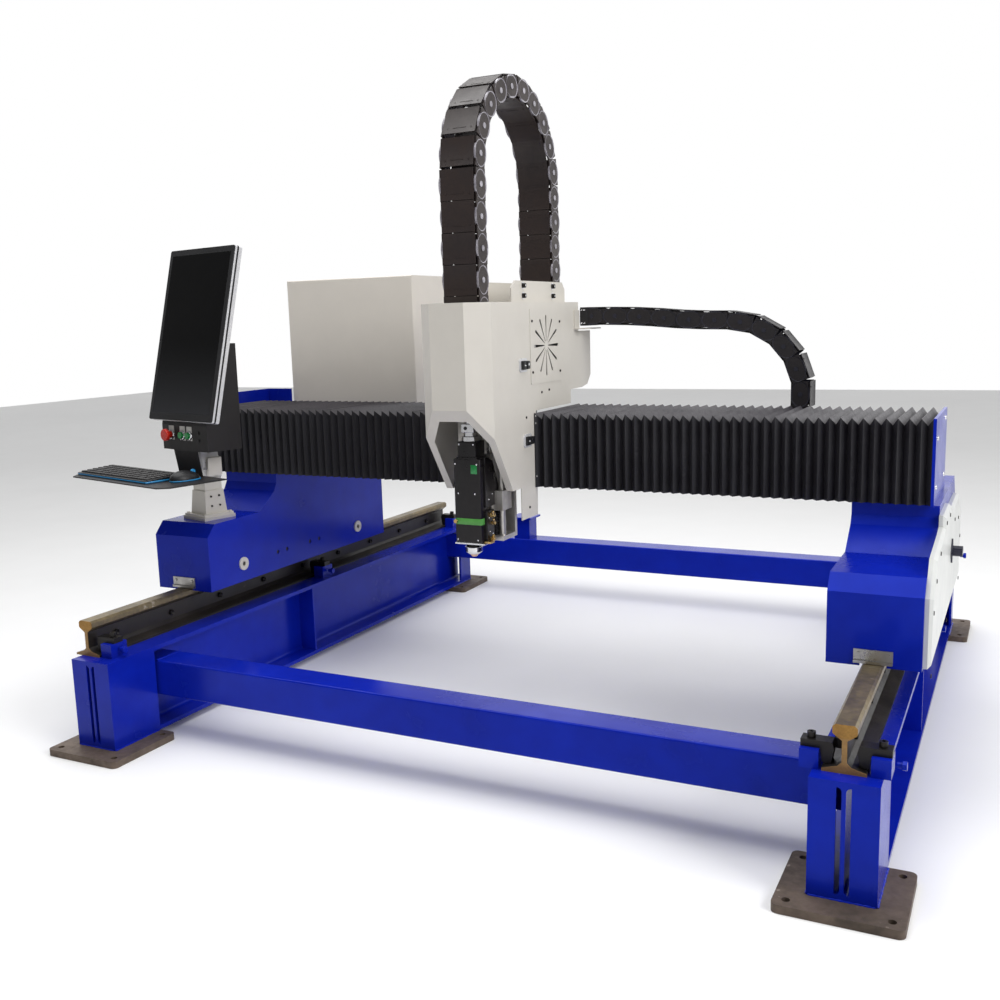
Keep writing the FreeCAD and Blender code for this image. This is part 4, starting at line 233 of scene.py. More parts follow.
def buildBandGroup():
    # 1 between two levels along one axis of the piece, with a soft ragged edge
    tree, entry, exit = newGroup("levelBand", [
        ("Vector", "NodeSocketVector", None), ("Axis", "NodeSocketVector", (0, 0, 1)),
        ("Low", "NodeSocketFloat", 0.0), ("High", "NodeSocketFloat", 1.0),
        ("Soft", "NodeSocketFloat", 0.001),
        ("Ragged", "NodeSocketFloat", 0.0)], [("Mask", "NodeSocketFloat")])
    dot = addNode(tree, "ShaderNodeVectorMath", operation="DOT_PRODUCT")
    tree.links.new(entry.outputs["Vector"], dot.inputs[0])
    tree.links.new(entry.outputs["Axis"], dot.inputs[1])
    noise = noiseNode(tree, entry.outputs["Vector"], 40.0, 5.0)
    shift = mathNode(tree, "MULTIPLY", mathNode(tree, "SUBTRACT", noise, 0.5), entry.outputs["Ragged"])
    level = mathNode(tree, "ADD", dot.outputs["Value"], shift)
    soft = entry.outputs["Soft"]
    up, down = (rampNode(tree, level, mathNode(tree, "SUBTRACT", entry.outputs[edge], soft),
                         mathNode(tree, "ADD", entry.outputs[edge], soft)) for edge in ("Low", "High"))
    tree.links.new(mathNode(tree, "SUBTRACT", up, down), exit.inputs["Mask"])
    return tree


toneGroup = buildToneGroup()
wearGroup = buildWearGroup()
grainGroup = buildGrainGroup()
bandGroup = buildBandGroup()


def useGroup(tree, group, vector, **values):
    node = tree.nodes.new("ShaderNodeGroup")
    node.node_tree = group
    tree.links.new(vector, node.inputs["Vector"])
    for key, value in values.items():
        node.inputs[key.replace("_", " ")].default_value = value
    return node


# what a finish is made of unless its own line says otherwise; colours are linear
usualLook = {"metal": 0.0, "fine": 1500, "swell": 90, "share": 0.6, "bump": 0.06, "amount": 0.1,
             "coat": 0.0, "shine": 0.4, "tint": (1, 1, 1)}
looks = {
    "bluePaint": dict(a=(0.004, 0.018, 0.4), b=(0.003, 0.011, 0.28), scale=1.6, rough=(0.16, 0.3),
        fine=420, swell=26, share=0.25, bump=0.05, worn=(0.05, 0.09, 0.55), amount=0.02, coat=0.05,
        tint=(0.12, 0.22, 1.0)),
    "creamPaint": dict(a=(0.63, 0.6, 0.545), b=(0.58, 0.55, 0.5), scale=1.2, rough=(0.42, 0.55), swell=60,
        share=0.7, worn=(0.4, 0.37, 0.33), amount=0.05),
    # the cream paint painted lighter for the cabinet: painted light over the shade the head cover casts on
    # it
    "cabinetLitPaint": dict(a=(0.74, 0.695, 0.63), b=(0.68, 0.64, 0.58), scale=1.0, rough=(0.4, 0.52),
        swell=60, share=0.7, worn=(0.4, 0.37, 0.33), amount=0.0),
    "greyPaint": dict(a=(0.62, 0.63, 0.61), b=(0.55, 0.56, 0.55), scale=1.5, rough=(0.3, 0.42), fine=1300,
        swell=60, share=0.7, bump=0.05, worn=(0.3, 0.3, 0.28), amount=0.08, coat=0.1),
    "darkPlate": dict(a=(0.17, 0.125, 0.095), b=(0.075, 0.058, 0.046), scale=5.0, rough=(0.45, 0.75),
        metal=0.35, fine=300, swell=45, share=0.5, bump=0.45, worn=(0.3, 0.25, 0.2), amount=0.42),
    "blackSteel": dict(a=(0.012, 0.011, 0.011), b=(0.022, 0.019, 0.018), scale=9.0, rough=(0.28, 0.48),
        metal=0.5, fine=500, swell=70, share=0.5, bump=0.2, worn=(0.1, 0.08, 0.07), amount=0.25),
    "boxPaint": dict(a=(0.017, 0.015, 0.016), b=(0.012, 0.011, 0.012), scale=3.0, rough=(0.42, 0.55),
        fine=1800, share=0.85, bump=0.1, worn=(0.03, 0.03, 0.03), amount=0.0),
    "bareSteel": dict(a=(0.52, 0.51, 0.49), b=(0.38, 0.37, 0.36), scale=7.0, rough=(0.22, 0.42),
        metal=1.0, fine=700, bump=0.08, worn=(0.2, 0.18, 0.16), amount=0.12),
    "castAlloy": dict(a=(0.6, 0.58, 0.55), b=(0.45, 0.43, 0.41), scale=7.0, rough=(0.3, 0.5), metal=0.85,
        fine=500, swell=120, bump=0.12, worn=(0.3, 0.28, 0.26)),
    "castWhite": dict(a=(0.66, 0.65, 0.63), b=(0.56, 0.55, 0.53), scale=8.0, rough=(0.3, 0.5), fine=420,
        swell=120, bump=0.12, worn=(0.4, 0.38, 0.36), amount=0.08, coat=0.1),
    "chromed": dict(a=(0.78, 0.78, 0.8), b=(0.66, 0.66, 0.68), scale=12.0, rough=(0.08, 0.2), metal=1.0,
        fine=800, bump=0.03, worn=(0.5, 0.5, 0.5), amount=0.05),
    "brass": dict(a=(0.66, 0.47, 0.2), b=(0.5, 0.34, 0.13), scale=20.0, rough=(0.2, 0.38), metal=1.0,
        fine=800, swell=120, worn=(0.3, 0.2, 0.1)),
    "copper": dict(a=(0.72, 0.5, 0.38), b=(0.6, 0.38, 0.27), scale=20.0, rough=(0.2, 0.38), metal=1.0,
        fine=800, swell=120, worn=(0.3, 0.16, 0.1)),
    "bellowsCloth": dict(a=(0.011, 0.01, 0.013), b=(0.018, 0.017, 0.021), scale=6.0, rough=(0.42, 0.6),
        fine=2200, swell=50, share=0.8, bump=0.25, worn=(0.06, 0.06, 0.07), amount=0.06),
    # the roof pleats: the bellows cloth painted lighter, a painted highlight of the top light
    "bellowsRoofSheen": dict(a=(0.06, 0.055, 0.064), b=(0.04, 0.037, 0.044), scale=6.0, rough=(0.34, 0.5),
        fine=2200, swell=50, share=0.8, bump=0.25, worn=(0.12, 0.115, 0.13)),
    "chainPlastic": dict(a=(0.016, 0.013, 0.015), b=(0.01, 0.009, 0.011), scale=8.0, rough=(0.38, 0.55),
        fine=900, swell=60, bump=0.12, worn=(0.05, 0.045, 0.045), amount=0.12),
    "brownPlastic": dict(a=(0.03, 0.02, 0.017), b=(0.018, 0.012, 0.012), scale=5.0, rough=(0.34, 0.5),
        fine=900, swell=50, bump=0.12, worn=(0.07, 0.055, 0.045), amount=0.12),
    "blueBlackPlastic": dict(a=(0.018, 0.018, 0.032), b=(0.012, 0.012, 0.02), scale=6.0,
        rough=(0.36, 0.5), fine=900, swell=60, bump=0.1, worn=(0.05, 0.05, 0.07), amount=0.06),
    "blackPlastic": dict(a=(0.009, 0.009, 0.01), b=(0.014, 0.014, 0.016), scale=9.0, rough=(0.32, 0.45),
        fine=1900, swell=80, share=0.8, bump=0.08, worn=(0.03, 0.03, 0.03), amount=0.0),
    "anodisedBlack": dict(a=(0.006, 0.005, 0.006), b=(0.011, 0.009, 0.01), scale=9.0, rough=(0.26, 0.4),
        metal=0.2, fine=1600, share=0.8, worn=(0.04, 0.035, 0.03), amount=0.05, coat=0.1),
    "whitePlastic": dict(a=(0.7, 0.7, 0.71), b=(0.6, 0.6, 0.62), scale=6.0, rough=(0.22, 0.36), metal=0.2,
        swell=70, share=0.8, bump=0.04, worn=(0.5, 0.5, 0.5), amount=0.0, coat=0.2),
    "labelWhite": dict(a=(0.64, 0.63, 0.6), b=(0.55, 0.54, 0.52), scale=30.0, rough=(0.4, 0.5), share=0.8,
        bump=0.03, worn=(0.3, 0.3, 0.3)),
    "redPlastic": dict(a=(0.62, 0.025, 0.012), b=(0.48, 0.015, 0.01), scale=25.0, rough=(0.22, 0.34),
        fine=1200, bump=0.04, worn=(0.3, 0.02, 0.01), coat=0.3),
    "greenPlastic": dict(a=(0.01, 0.26, 0.06), b=(0.008, 0.18, 0.04), scale=30.0, rough=(0.18, 0.3),
        fine=1200, bump=0.04, worn=(0.01, 0.1, 0.02), amount=0.05, coat=0.3),
    "greenBand": dict(a=(0.1, 0.36, 0.07), b=(0.07, 0.28, 0.05), scale=30.0, rough=(0.3, 0.42), fine=1200,
        bump=0.04, worn=(0.05, 0.2, 0.04), coat=0.1),
    "blueEdge": dict(a=(0.03, 0.3, 0.62), b=(0.02, 0.22, 0.5), scale=20.0, rough=(0.28, 0.4), fine=1200,
        bump=0.04, worn=(0.02, 0.15, 0.4), amount=0.05, coat=0.1),
    "palePlate": dict(a=(0.4, 0.38, 0.42), b=(0.13, 0.12, 0.145), scale=16.0, rough=(0.16, 0.34),
        fine=260, swell=70, share=0.35, bump=0.5, worn=(0.62, 0.61, 0.65), amount=0.5, coat=0.5),
    "floorPale": dict(a=(0.93, 0.93, 0.93), b=(0.9, 0.9, 0.9), scale=0.4, rough=(0.6, 0.7), fine=300,
        swell=5, bump=0.01, worn=(0.9, 0.9, 0.9), amount=0.0),
}


def startFinish(name, look):
    look = {**usualLook, **look}
    material = bpy.data.materials.new(name)
    material.use_nodes = True
    tree = material.node_tree
    shader = tree.nodes["Principled BSDF"]
    coords = tree.nodes.new("ShaderNodeTexCoord").outputs["Object"]
    tone = useGroup(tree, toneGroup, coords, Color_A=(*look["a"], 1), Color_B=(*look["b"], 1),
                    Scale=look["scale"])
    wear = useGroup(tree, wearGroup, coords, Scale=look["scale"] * 6, Amount=look["amount"])
    grain = useGroup(tree, grainGroup, coords, Fine=look["fine"], Swell=look["swell"], Share=look["share"])
    colour = mixNode(tree, wear.outputs["Mask"], tone.outputs["Color"], (*look["worn"], 1))
    rough = addNode(tree, "ShaderNodeMapRange")
    rough.inputs["To Min"].default_value, rough.inputs["To Max"].default_value = look["rough"]
    tree.links.new(tone.outputs["Mask"], rough.inputs["Value"])
    tree.links.new(rough.outputs["Result"], shader.inputs["Roughness"])
    bump = addNode(tree, "ShaderNodeBump", Strength=look["bump"], Distance=0.002)
    tree.links.new(grain.outputs["Height"], bump.inputs["Height"])
    tree.links.new(bump.outputs["Normal"], shader.inputs["Normal"])
    shader.inputs["Metallic"].default_value = look["metal"]
    shader.inputs["Specular IOR Level"].default_value = look["shine"]
    shader.inputs["Specular Tint"].default_value = (*look["tint"], 1)
    shader.inputs["Coat Weight"].default_value = look["coat"]
    shader.inputs["Coat Roughness"].default_value = 0.08
    return material, tree, shader, coords, colour


def plainFinish(name):
    material, tree, shader, coords, colour = startFinish(name, looks[name])
    tree.links.new(colour, shader.inputs["Base Color"])
    return material


def railFinish():
    # dark mill scale on web and foot, a worn brown head and rusty sawn ends
    look = dict(looks["blackSteel"], a=(0.016, 0.014, 0.013), b=(0.028, 0.023, 0.02), amount=0.3)
    material, tree, shader, coords, colour = startFinish("railSteel", look)
    low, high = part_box("left_rail")
    worn = useGroup(tree, toneGroup, coords, Color_A=(0.30, 0.235, 0.13, 1), Color_B=(0.12, 0.10, 0.07, 1),
                    Scale=7.0)
    shine = useGroup(tree, wearGroup, coords, Scale=30.0, Amount=0.45)
    head = mixNode(tree, shine.outputs["Mask"], worn.outputs["Color"], (0.50, 0.45, 0.36, 1))
    band = useGroup(tree, bandGroup, coords, Low=high.z - 0.030, High=high.z + 0.02, Soft=0.0015,
                    Ragged=0.004)
    colour = mixNode(tree, band.outputs["Mask"], colour, head)
    rust = useGroup(tree, toneGroup, coords, Color_A=(0.36, 0.20, 0.055, 1), Color_B=(0.22, 0.12, 0.035, 1),
                    Scale=30.0)
    for y0, y1 in ((low.y - 0.01, low.y + 0.0012), (high.y - 0.0012, high.y + 0.01)):
        end = useGroup(tree, bandGroup, coords, Axis=(0, 1, 0), Low=y0, High=y1, Soft=0.0003)
        colour = mixNode(tree, end.outputs["Mask"], colour, rust.outputs["Color"])
    tree.links.new(colour, shader.inputs["Base Color"])
    tree.links.new(mathNode(tree, "MULTIPLY", band.outputs["Mask"], 0.75), shader.inputs["Metallic"])
    return material


def beamFinish():
    # blue paint with pale overspray specks on the top flange near the front
    material, tree, shader, coords, colour = startFinish("beamPaint", looks["bluePaint"])
    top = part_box("right_beam")[1].z
    specks = useGroup(tree, wearGroup, coords, Scale=260.0, Amount=0.36)
    zone = useGroup(tree, bandGroup, coords, Low=top - 0.002, High=top + 0.1, Soft=0.001)
    side = useGroup(tree, bandGroup, coords, Axis=(1, 0, 0), Low=rightBeam[0].x + 0.05,
                    High=rightBeam[1].x + 0.1)
    mask = mathNode(tree, "MULTIPLY", specks.outputs["Mask"], zone.outputs["Mask"])
    mask = mathNode(tree, "MULTIPLY", mask, side.outputs["Mask"])
    tree.links.new(mixNode(tree, mask, colour, (0.6, 0.62, 0.66, 1)), shader.inputs["Base Color"])
    return material


def coverFinish():
    # grey cover whose wing grip is black
    material, tree, shader, coords, colour = startFinish("sideCoverPaint", looks["greyPaint"])
    face = place(1054 + 111 + 18, 0, 0).x
    grip = useGroup(tree, bandGroup, coords, Axis=(1, 0, 0), Low=face + 0.0008, High=face + 0.2,
                    Soft=0.0002)
    tree.links.new(mixNode(tree, grip.outputs["Mask"], colour, (0.012, 0.012, 0.03, 1)),
                   shader.inputs["Base Color"])
    return material


def nozzleFinish():
    # dark holder, then ceramic, then a copper tip
    material, tree, shader, coords, colour = startFinish("nozzleMetal", looks["chromed"])
    low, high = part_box("nozzle")
    tip = useGroup(tree, bandGroup, coords, Low=low.z - 0.01, High=low.z + 0.008, Soft=0.0003)
    holder = useGroup(tree, bandGroup, coords, Low=high.z - 0.011, High=high.z + 0.01, Soft=0.0003)
    colour = mixNode(tree, tip.outputs["Mask"], colour, (0.66, 0.42, 0.30, 1))
    colour = mixNode(tree, holder.outputs["Mask"], colour, (0.012, 0.012, 0.012, 1))
    tree.links.new(colour, shader.inputs["Base Color"])
    return material


def glassFinish():
    # black display glass, painted greyer towards the bottom as a painted reflection
    look = dict(a=(0.0015, 0.0015, 0.0016), b=(0.0025, 0.0025, 0.0028), scale=2.0, rough=(0.05, 0.09),
                metal=0.0, fine=40,
                swell=5, share=0.5, bump=0.004, worn=(0.003, 0.003, 0.003), amount=0.0, coat=0.0,
                shine=0.12)
    material, tree, shader, coords, colour = startFinish("screenGlass", look)
    # painted reflection: the glass turns greyer the lower it is
    glow = rampNode(tree, heightAlong(tree, coords, (0, 0, 1)), 1.20, 0.93)
    soft = mathNode(tree, "POWER", glow, 1.6)
    tree.links.new(mixNode(tree, soft, colour, (0.035, 0.036, 0.04, 1)), shader.inputs["Base Color"])
    return material


def heightAlong(tree, coords, axis):
    dot = addNode(tree, "ShaderNodeVectorMath", operation="DOT_PRODUCT")
    tree.links.new(coords, dot.inputs[0])
    dot.inputs[1].default_value = axis
    return dot.outputs["Value"]


finishes = {name: plainFinish(name) for name in looks}
finishes["railSteel"] = railFinish()
finishes["beamPaint"] = beamFinish()
finishes["sideCoverPaint"] = coverFinish()
finishes["nozzleMetal"] = nozzleFinish()
finishes["screenGlass"] = glassFinish()
print("finishes made:", len(finishes))


# mesh helpers
def finishPiece(name, bm, materials, smooth=0.6, bevel=0.0, segments=2):
    bmesh.ops.remove_doubles(bm, verts=bm.verts, dist=1e-7)
    mesh = bpy.data.meshes.new(name)
    bm.to_mesh(mesh)
    bm.free()
    for material in materials:
        mesh.materials.append(material)
    piece = bpy.data.objects.new(name, mesh)
    bpy.context.scene.collection.objects.link(piece)
    if bevel:
        rounder = piece.modifiers.new("roundedEdges", "BEVEL")
        rounder.width = bevel
        rounder.segments = segments
        rounder.limit_method = "ANGLE"
        rounder.angle_limit = math.radians(40)
        rounder.harden_normals = False
    if smooth:
        mesh.shade_smooth()
        mesh.set_sharp_from_angle(angle=smooth)
    return piece


def fit(name, bm, used, slot, body, node=None, turn=None, **shape):
    # a finished piece with its finishes, the body it rides on and the CAD piece it stands for
    if turn:
        bmesh.ops.transform(bm, matrix=turn, verts=bm.verts)
    piece = finishPiece(name, bm, [finishes[look] for look in used.split()], **shape)
    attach(piece, body)
    if node:
        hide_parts(node)


def addBlock(bm, low, high, matrix=None, material=0):
    size = [h - l for l, h in zip(low, high)]
    middle = [(l + h) / 2 for l, h in zip(low, high)]
    made = bmesh.ops.create_cube(bm, size=1.0)["verts"]
    bmesh.ops.scale(bm, vec=size, verts=made)
    bmesh.ops.translate(bm, vec=middle, verts=made)
    if matrix:
        bmesh.ops.transform(bm, matrix=matrix, verts=made)
    paintFaces(made, material)
    return made


def paintFaces(verts, material):
    for face in {f for v in verts for f in v.link_faces}:
        face.material_index = material


def addRod(bm, start, direction, radius, length, sides=20, tip=None, material=0, matrix=None):
    made = bmesh.ops.create_cone(bm, cap_ends=True, segments=sides, radius1=radius,
                                 radius2=radius if tip is None else tip, depth=length)["verts"]
    direction = Vector(direction).normalized()
    turn = direction.to_track_quat("Z", "Y").to_matrix().to_4x4()
    spot = Matrix.Translation(Vector(start) + direction * length / 2)
    bmesh.ops.transform(bm, matrix=spot @ turn, verts=made)
    if matrix:
        bmesh.ops.transform(bm, matrix=matrix, verts=made)
    paintFaces(made, material)
    return made


def roundAll(bm, verts, width, segments=2):
    edges = list({e for v in verts for e in v.link_edges})
    made = bmesh.ops.bevel(bm, geom=edges, offset=width, segments=segments, profile=0.5, affect="EDGES",
                           material=-1)
    return made["verts"]


def outlinePlate(bm, points, thickness, matrix=None, material=0):
    verts = [bm.verts.new((x, y, 0)) for x, y in points]
    face = bm.faces.new(verts)
    if face.normal.z > 0:
        face.normal_flip()
    grown = bmesh.ops.extrude_face_region(bm, geom=[face])["geom"]
    top = [g for g in grown if isinstance(g, bmesh.types.BMVert)]
    bmesh.ops.translate(bm, vec=(0, 0, thickness), verts=top)
    every = verts + top
    bmesh.ops.recalc_face_normals(bm, faces=list({f for v in every for f in v.link_faces}))
    if matrix:
        bmesh.ops.transform(bm, matrix=matrix, verts=every)
    paintFaces(every, material)
    return every


def addScrew(bm, spot, direction, radius, height, recess=0, head=0, sides=18):
    # round head with a six-sided socket
    direction = Vector(direction).normalized()
    made = addRod(bm, spot, direction, radius, height, sides, tip=radius * 0.9, material=head)
    outer = max({f for v in made for f in v.link_faces},
                key=lambda f: f.calc_center_median().dot(direction))
    inner = bmesh.ops.inset_region(bm, faces=[outer], thickness=radius * 0.42, depth=0)
    bmesh.ops.translate(bm, vec=-direction * height * 0.55, verts=list(outer.verts))
    outer.material_index = recess
    return inner


def roundAlong(bm, verts, axis, least, width, segments):
    # rounds only the edges that run along one axis
    edges = [e for e in {e for v in verts for e in v.link_edges}
             if abs(e.verts[0].co[axis] - e.verts[1].co[axis]) > least]
    bmesh.ops.bevel(bm, geom=edges, offset=width, segments=segments, profile=0.5, affect="EDGES",
                    material=-1)


def sortGrown(made):
    # the new corners and edges of an extrusion
    return ([g for g in made["geom"] if isinstance(g, bmesh.types.BMVert)],
            [g for g in made["geom"] if isinstance(g, bmesh.types.BMEdge)])


def addScrews(bm, spots, direction, radius, height, **more):
    for spot in spots:
        addScrew(bm, spot, direction, radius, height, **more)


def m(x):
    return x / 1000


# bellows over the crossbeam
bellows = {"depth": 0.020, "sheet": 0.0018, "pitch": 0.029,
           "cuts": (0.0, 0.03, 0.08, 0.2, 0.5, 0.8, 0.92, 0.97, 1.0)}


def bellowsPleats(name, low, high, first, last, count):
    # an L-shaped profile repeated along X, folded in and out by turns
    bm = bmesh.new()
    depth = bellows["depth"]
    step = (last - first) / count
    front, back, bottom, top = low.y + 0.001, high.y, low.z, high.z - 0.001
    corners = [(0, front, bottom), (0, front, top), (0, back, top)]
    verts = [bm.verts.new((first + x, y, z)) for x, y, z in corners]
    edges = [bm.edges.new((verts[0], verts[1])), bm.edges.new((verts[1], verts[2]))]
    sign = 1
    for _ in range(count * 2):
        verts, edges = sortGrown(bmesh.ops.extrude_edge_only(bm, edges=edges))
        bmesh.ops.translate(bm, vec=(step / 2, 0, 0), verts=verts)
        wall = [v for v in verts if v.co.y < (front + back) / 2]
        roof = [v for v in verts if v.co.z > (bottom + top) / 2]
        bmesh.ops.translate(bm, vec=(0, sign * depth, 0), verts=wall)
        bmesh.ops.translate(bm, vec=(0, 0, -sign * depth), verts=roof)
        sign = -sign
    bmesh.ops.recalc_face_normals(bm, faces=bm.faces)
    if sum(f.normal.z for f in bm.faces) < 0:
        bmesh.ops.reverse_faces(bm, faces=bm.faces)
    # painted highlight: the top faces of the pleats take the lighter copy of the cloth
    for face in bm.faces:
        face.material_index = 1 if face.calc_center_median().z > top - depth * 1.01 else 0
    piece = finishPiece(name, bm, [finishes["bellowsCloth"], finishes["bellowsRoofSheen"]], smooth=0)
    solid = piece.modifiers.new("cloth", "SOLIDIFY")
    solid.thickness = bellows["sheet"]
    solid.offset = -1
    return piece


def layBellows(node, fixedX, movingX):
    # the bellows are laid as stretches between the listed cuts, each with a whole number of folds, so the
    # folds stay even
    low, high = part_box(node)
    total = round(abs(movingX - fixedX) / bellows["pitch"])
    cuts = bellows["cuts"]
    for i, (a, b) in enumerate(zip(cuts, cuts[1:])):
        a, b = round(a * total) / total, round(b * total) / total
        xa, xb = fixedX + (movingX - fixedX) * a, fixedX + (movingX - fixedX) * b
        piece = bellowsPleats(f"{node}_{i + 1}", low, high, min(xa, xb), max(xa, xb),
                              round((b - a) * total))
        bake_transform(piece)
        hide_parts(node)


leftBox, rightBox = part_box("left_bellows"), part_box("right_bellows")
layBellows("left_bellows", leftBox[0].x, leftBox[1].x)
layBellows("right_bellows", rightBox[1].x, rightBox[0].x)


def bellowsFrames():
    # thin end frames screwed to the head's flanks
    bm = bmesh.new()
    low, high = leftBox[0], rightBox[1]
    for x in (leftBox[1].x - 0.0002, rightBox[0].x - 0.0008):
        addBlock(bm, (x, low.y - 0.002, low.z), (x + 0.001, low.y + 0.024, high.z - 0.002))
        addBlock(bm, (x, low.y + 0.024, high.z - 0.024), (x + 0.001, high.y - 0.02, high.z - 0.002))
    fit("bellowsFrames", bm, "blackPlastic", "black_steel", "head_carriage", smooth=0)
    bm = bmesh.new()
    x = rightBox[0].x - 0.0002
    for y, z in ((low.y + 0.006, high.z - 0.010), (low.y + 0.006, high.z - 0.032),
                 (low.y + 0.006, low.z + 0.034)):
        addScrew(bm, (x + 0.0005, y, z), (1, 0, 0), 0.0042, 0.0035, sides=14)
    fit("bellowsScrews", bm, "chromed", "bare_steel", "head_carriage")


bellowsFrames()
print("bellows made")


# cable chains
chains = {"wall": 0.006, "gap": 0.0015, "panel": 0.003, "zHeight": 0.070, "xHeight": 0.060,
          "zLinks": (6, 10, 4), "xLinks": (6, 9, 5), "play": 0.002}


def chainPath(runs):
    # runs are (kind, ...) in a side plane with axes p, q; gives evenly spaced joints
    points = []
    for run in runs:
        if run[0] == "line":
            (x0, y0), (x1, y1), count = run[1:]
            for i in range(count):
                points.append((x0 + (x1 - x0) * i / count, y0 + (y1 - y0) * i / count))
        else:
            (cx, cy), radius, a0, a1, count = run[1:]
            for i in range(count):
                angle = math.radians(a0 + (a1 - a0) * i / count)
                points.append((cx + radius * math.cos(angle), cy + radius * math.sin(angle)))
    return points


def chainLink(bm, length, height, width, first, oval, colours):
    # along X, cover panels up and down in Z, side plates at both ends of Y
    half, wall = width / 2, chains["wall"]
    plate, panel = colours
    for side in (-1, 1):
        inset = 0.0012 if first else 0.0
        outer = side * (half - inset)
        inner = outer - side * wall
        addBlock(bm, (-length * 0.5, min(outer, inner) + 0.001, -height * 0.40),
                 (length * 0.5, max(outer, inner) - 0.001, height * 0.40), material=panel)
        disc = bmesh.ops.create_cone(bm, cap_ends=True, segments=28, radius1=0.5, radius2=0.5,
                                     depth=wall)["verts"]
        bmesh.ops.scale(bm, vec=(oval * length, height * 0.96, 1), verts=disc)
        bmesh.ops.rotate(bm, cent=(0, 0, 0), matrix=Matrix.Rotation(math.pi / 2, 3, "X"), verts=disc)
        bmesh.ops.translate(bm, vec=(0, outer - side * wall / 2, 0), verts=disc)
        paintFaces(disc, plate)
        caps = [f for f in {f for v in disc for f in v.link_faces} if len(f.verts) > 8]
        outerCap = max(caps, key=lambda f: f.calc_center_median().y * side)
        bmesh.ops.inset_region(bm, faces=[outerCap], thickness=height * 0.045, depth=-0.0012)
        addRod(bm, (0, outer - side * 0.001, 0), (0, side, 0), height * 0.12, 0.0016, 16, material=plate)
    flat = chains["panel"]
    for side in (-1, 1):
        z = side * (height / 2 - flat)
        sheet = addBlock(bm, (-length / 2 + chains["gap"] / 2, -half + wall + 0.001,
                              min(z, z + side * flat)),
                         (length / 2 - chains["gap"] / 2, half - wall - 0.001, max(z, z + side * flat)),
                         material=panel)
        face = max({f for v in sheet for f in v.link_faces}, key=lambda f: f.calc_center_median().z * side)
        bmesh.ops.inset_region(bm, faces=[face], thickness=0.005, depth=-0.001)
        top = side * height / 2
        for y in (-half * 0.62, half * 0.62):
            addRod(bm, (-length * 0.28, y, top - side * 0.0018), (0, 0, side), 0.003, 0.0014, 10,
                   material=panel)
        addBlock(bm, (-length * 0.29, -half * 0.34, min(top - side * 0.0015, top - side * 0.0004)),
                 (-length * 0.25, half * 0.34, max(top - side * 0.0015, top - side * 0.0004)),
                 material=panel)


def layChain(name, joints, toSpace, height, width, oval, materials):
    bm = bmesh.new()
    for i, (a, b) in enumerate(zip(joints, joints[1:])):
        link = bmesh.new()
        start, end = toSpace(a), toSpace(b)
        along = (end - start)
        chainLink(link, along.length, height, width, i % 2 == 0, oval, (0, 1))
        across = toSpace.across
        x = along.normalized()
        z = x.cross(across).normalized()
        turn = Matrix((x, across, z)).transposed().to_4x4()
        bmesh.ops.transform(link, matrix=Matrix.Translation((start + end) / 2) @ turn, verts=link.verts)
        spare = bpy.data.meshes.new("link")
        link.to_mesh(spare)
        link.free()
        bm.from_mesh(spare)
        bpy.data.meshes.remove(spare)
    piece = finishPiece(name, bm, materials, smooth=0.6)
    return piece


class SidePlane:
    def __init__(self, origin, p, q):
        self.origin, self.p, self.q = Vector(origin), Vector(p), Vector(q)
        self.across = Vector(q).cross(Vector(p)).normalized()

    def __call__(self, point):
        return self.origin + self.p * point[0] + self.q * point[1]


def zChain():
    low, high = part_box("z_chain")
    middle = (low.x + high.x) / 2
    width = high.x - low.x
    height, (up, over, down) = chains["zHeight"], chains["zLinks"]
    linkHeight = height - chains["play"]
    radius = (high.y - low.y - height) / 2
    centre = ((low.y + high.y) / 2, high.z - radius - height / 2)
    plane = SidePlane((middle, 0, 0), (0, 1, 0), (0, 0, 1))
    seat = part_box("chain_brackets")[1].z
    joints = chainPath([("line", (centre[0] - radius, low.z), (centre[0] - radius, centre[1]), up),
                        ("arc", centre, radius, 180, 0, over),
                        ("line", (centre[0] + radius, centre[1]), (centre[0] + radius, seat), down)])
    joints.append((centre[0] + radius, seat))
    chain = layChain("zChainLinks", joints, plane, linkHeight, width, 0.94,
                     [finishes["palePlate"], finishes["brownPlastic"]])
    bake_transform(chain)
    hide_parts("z_chain")


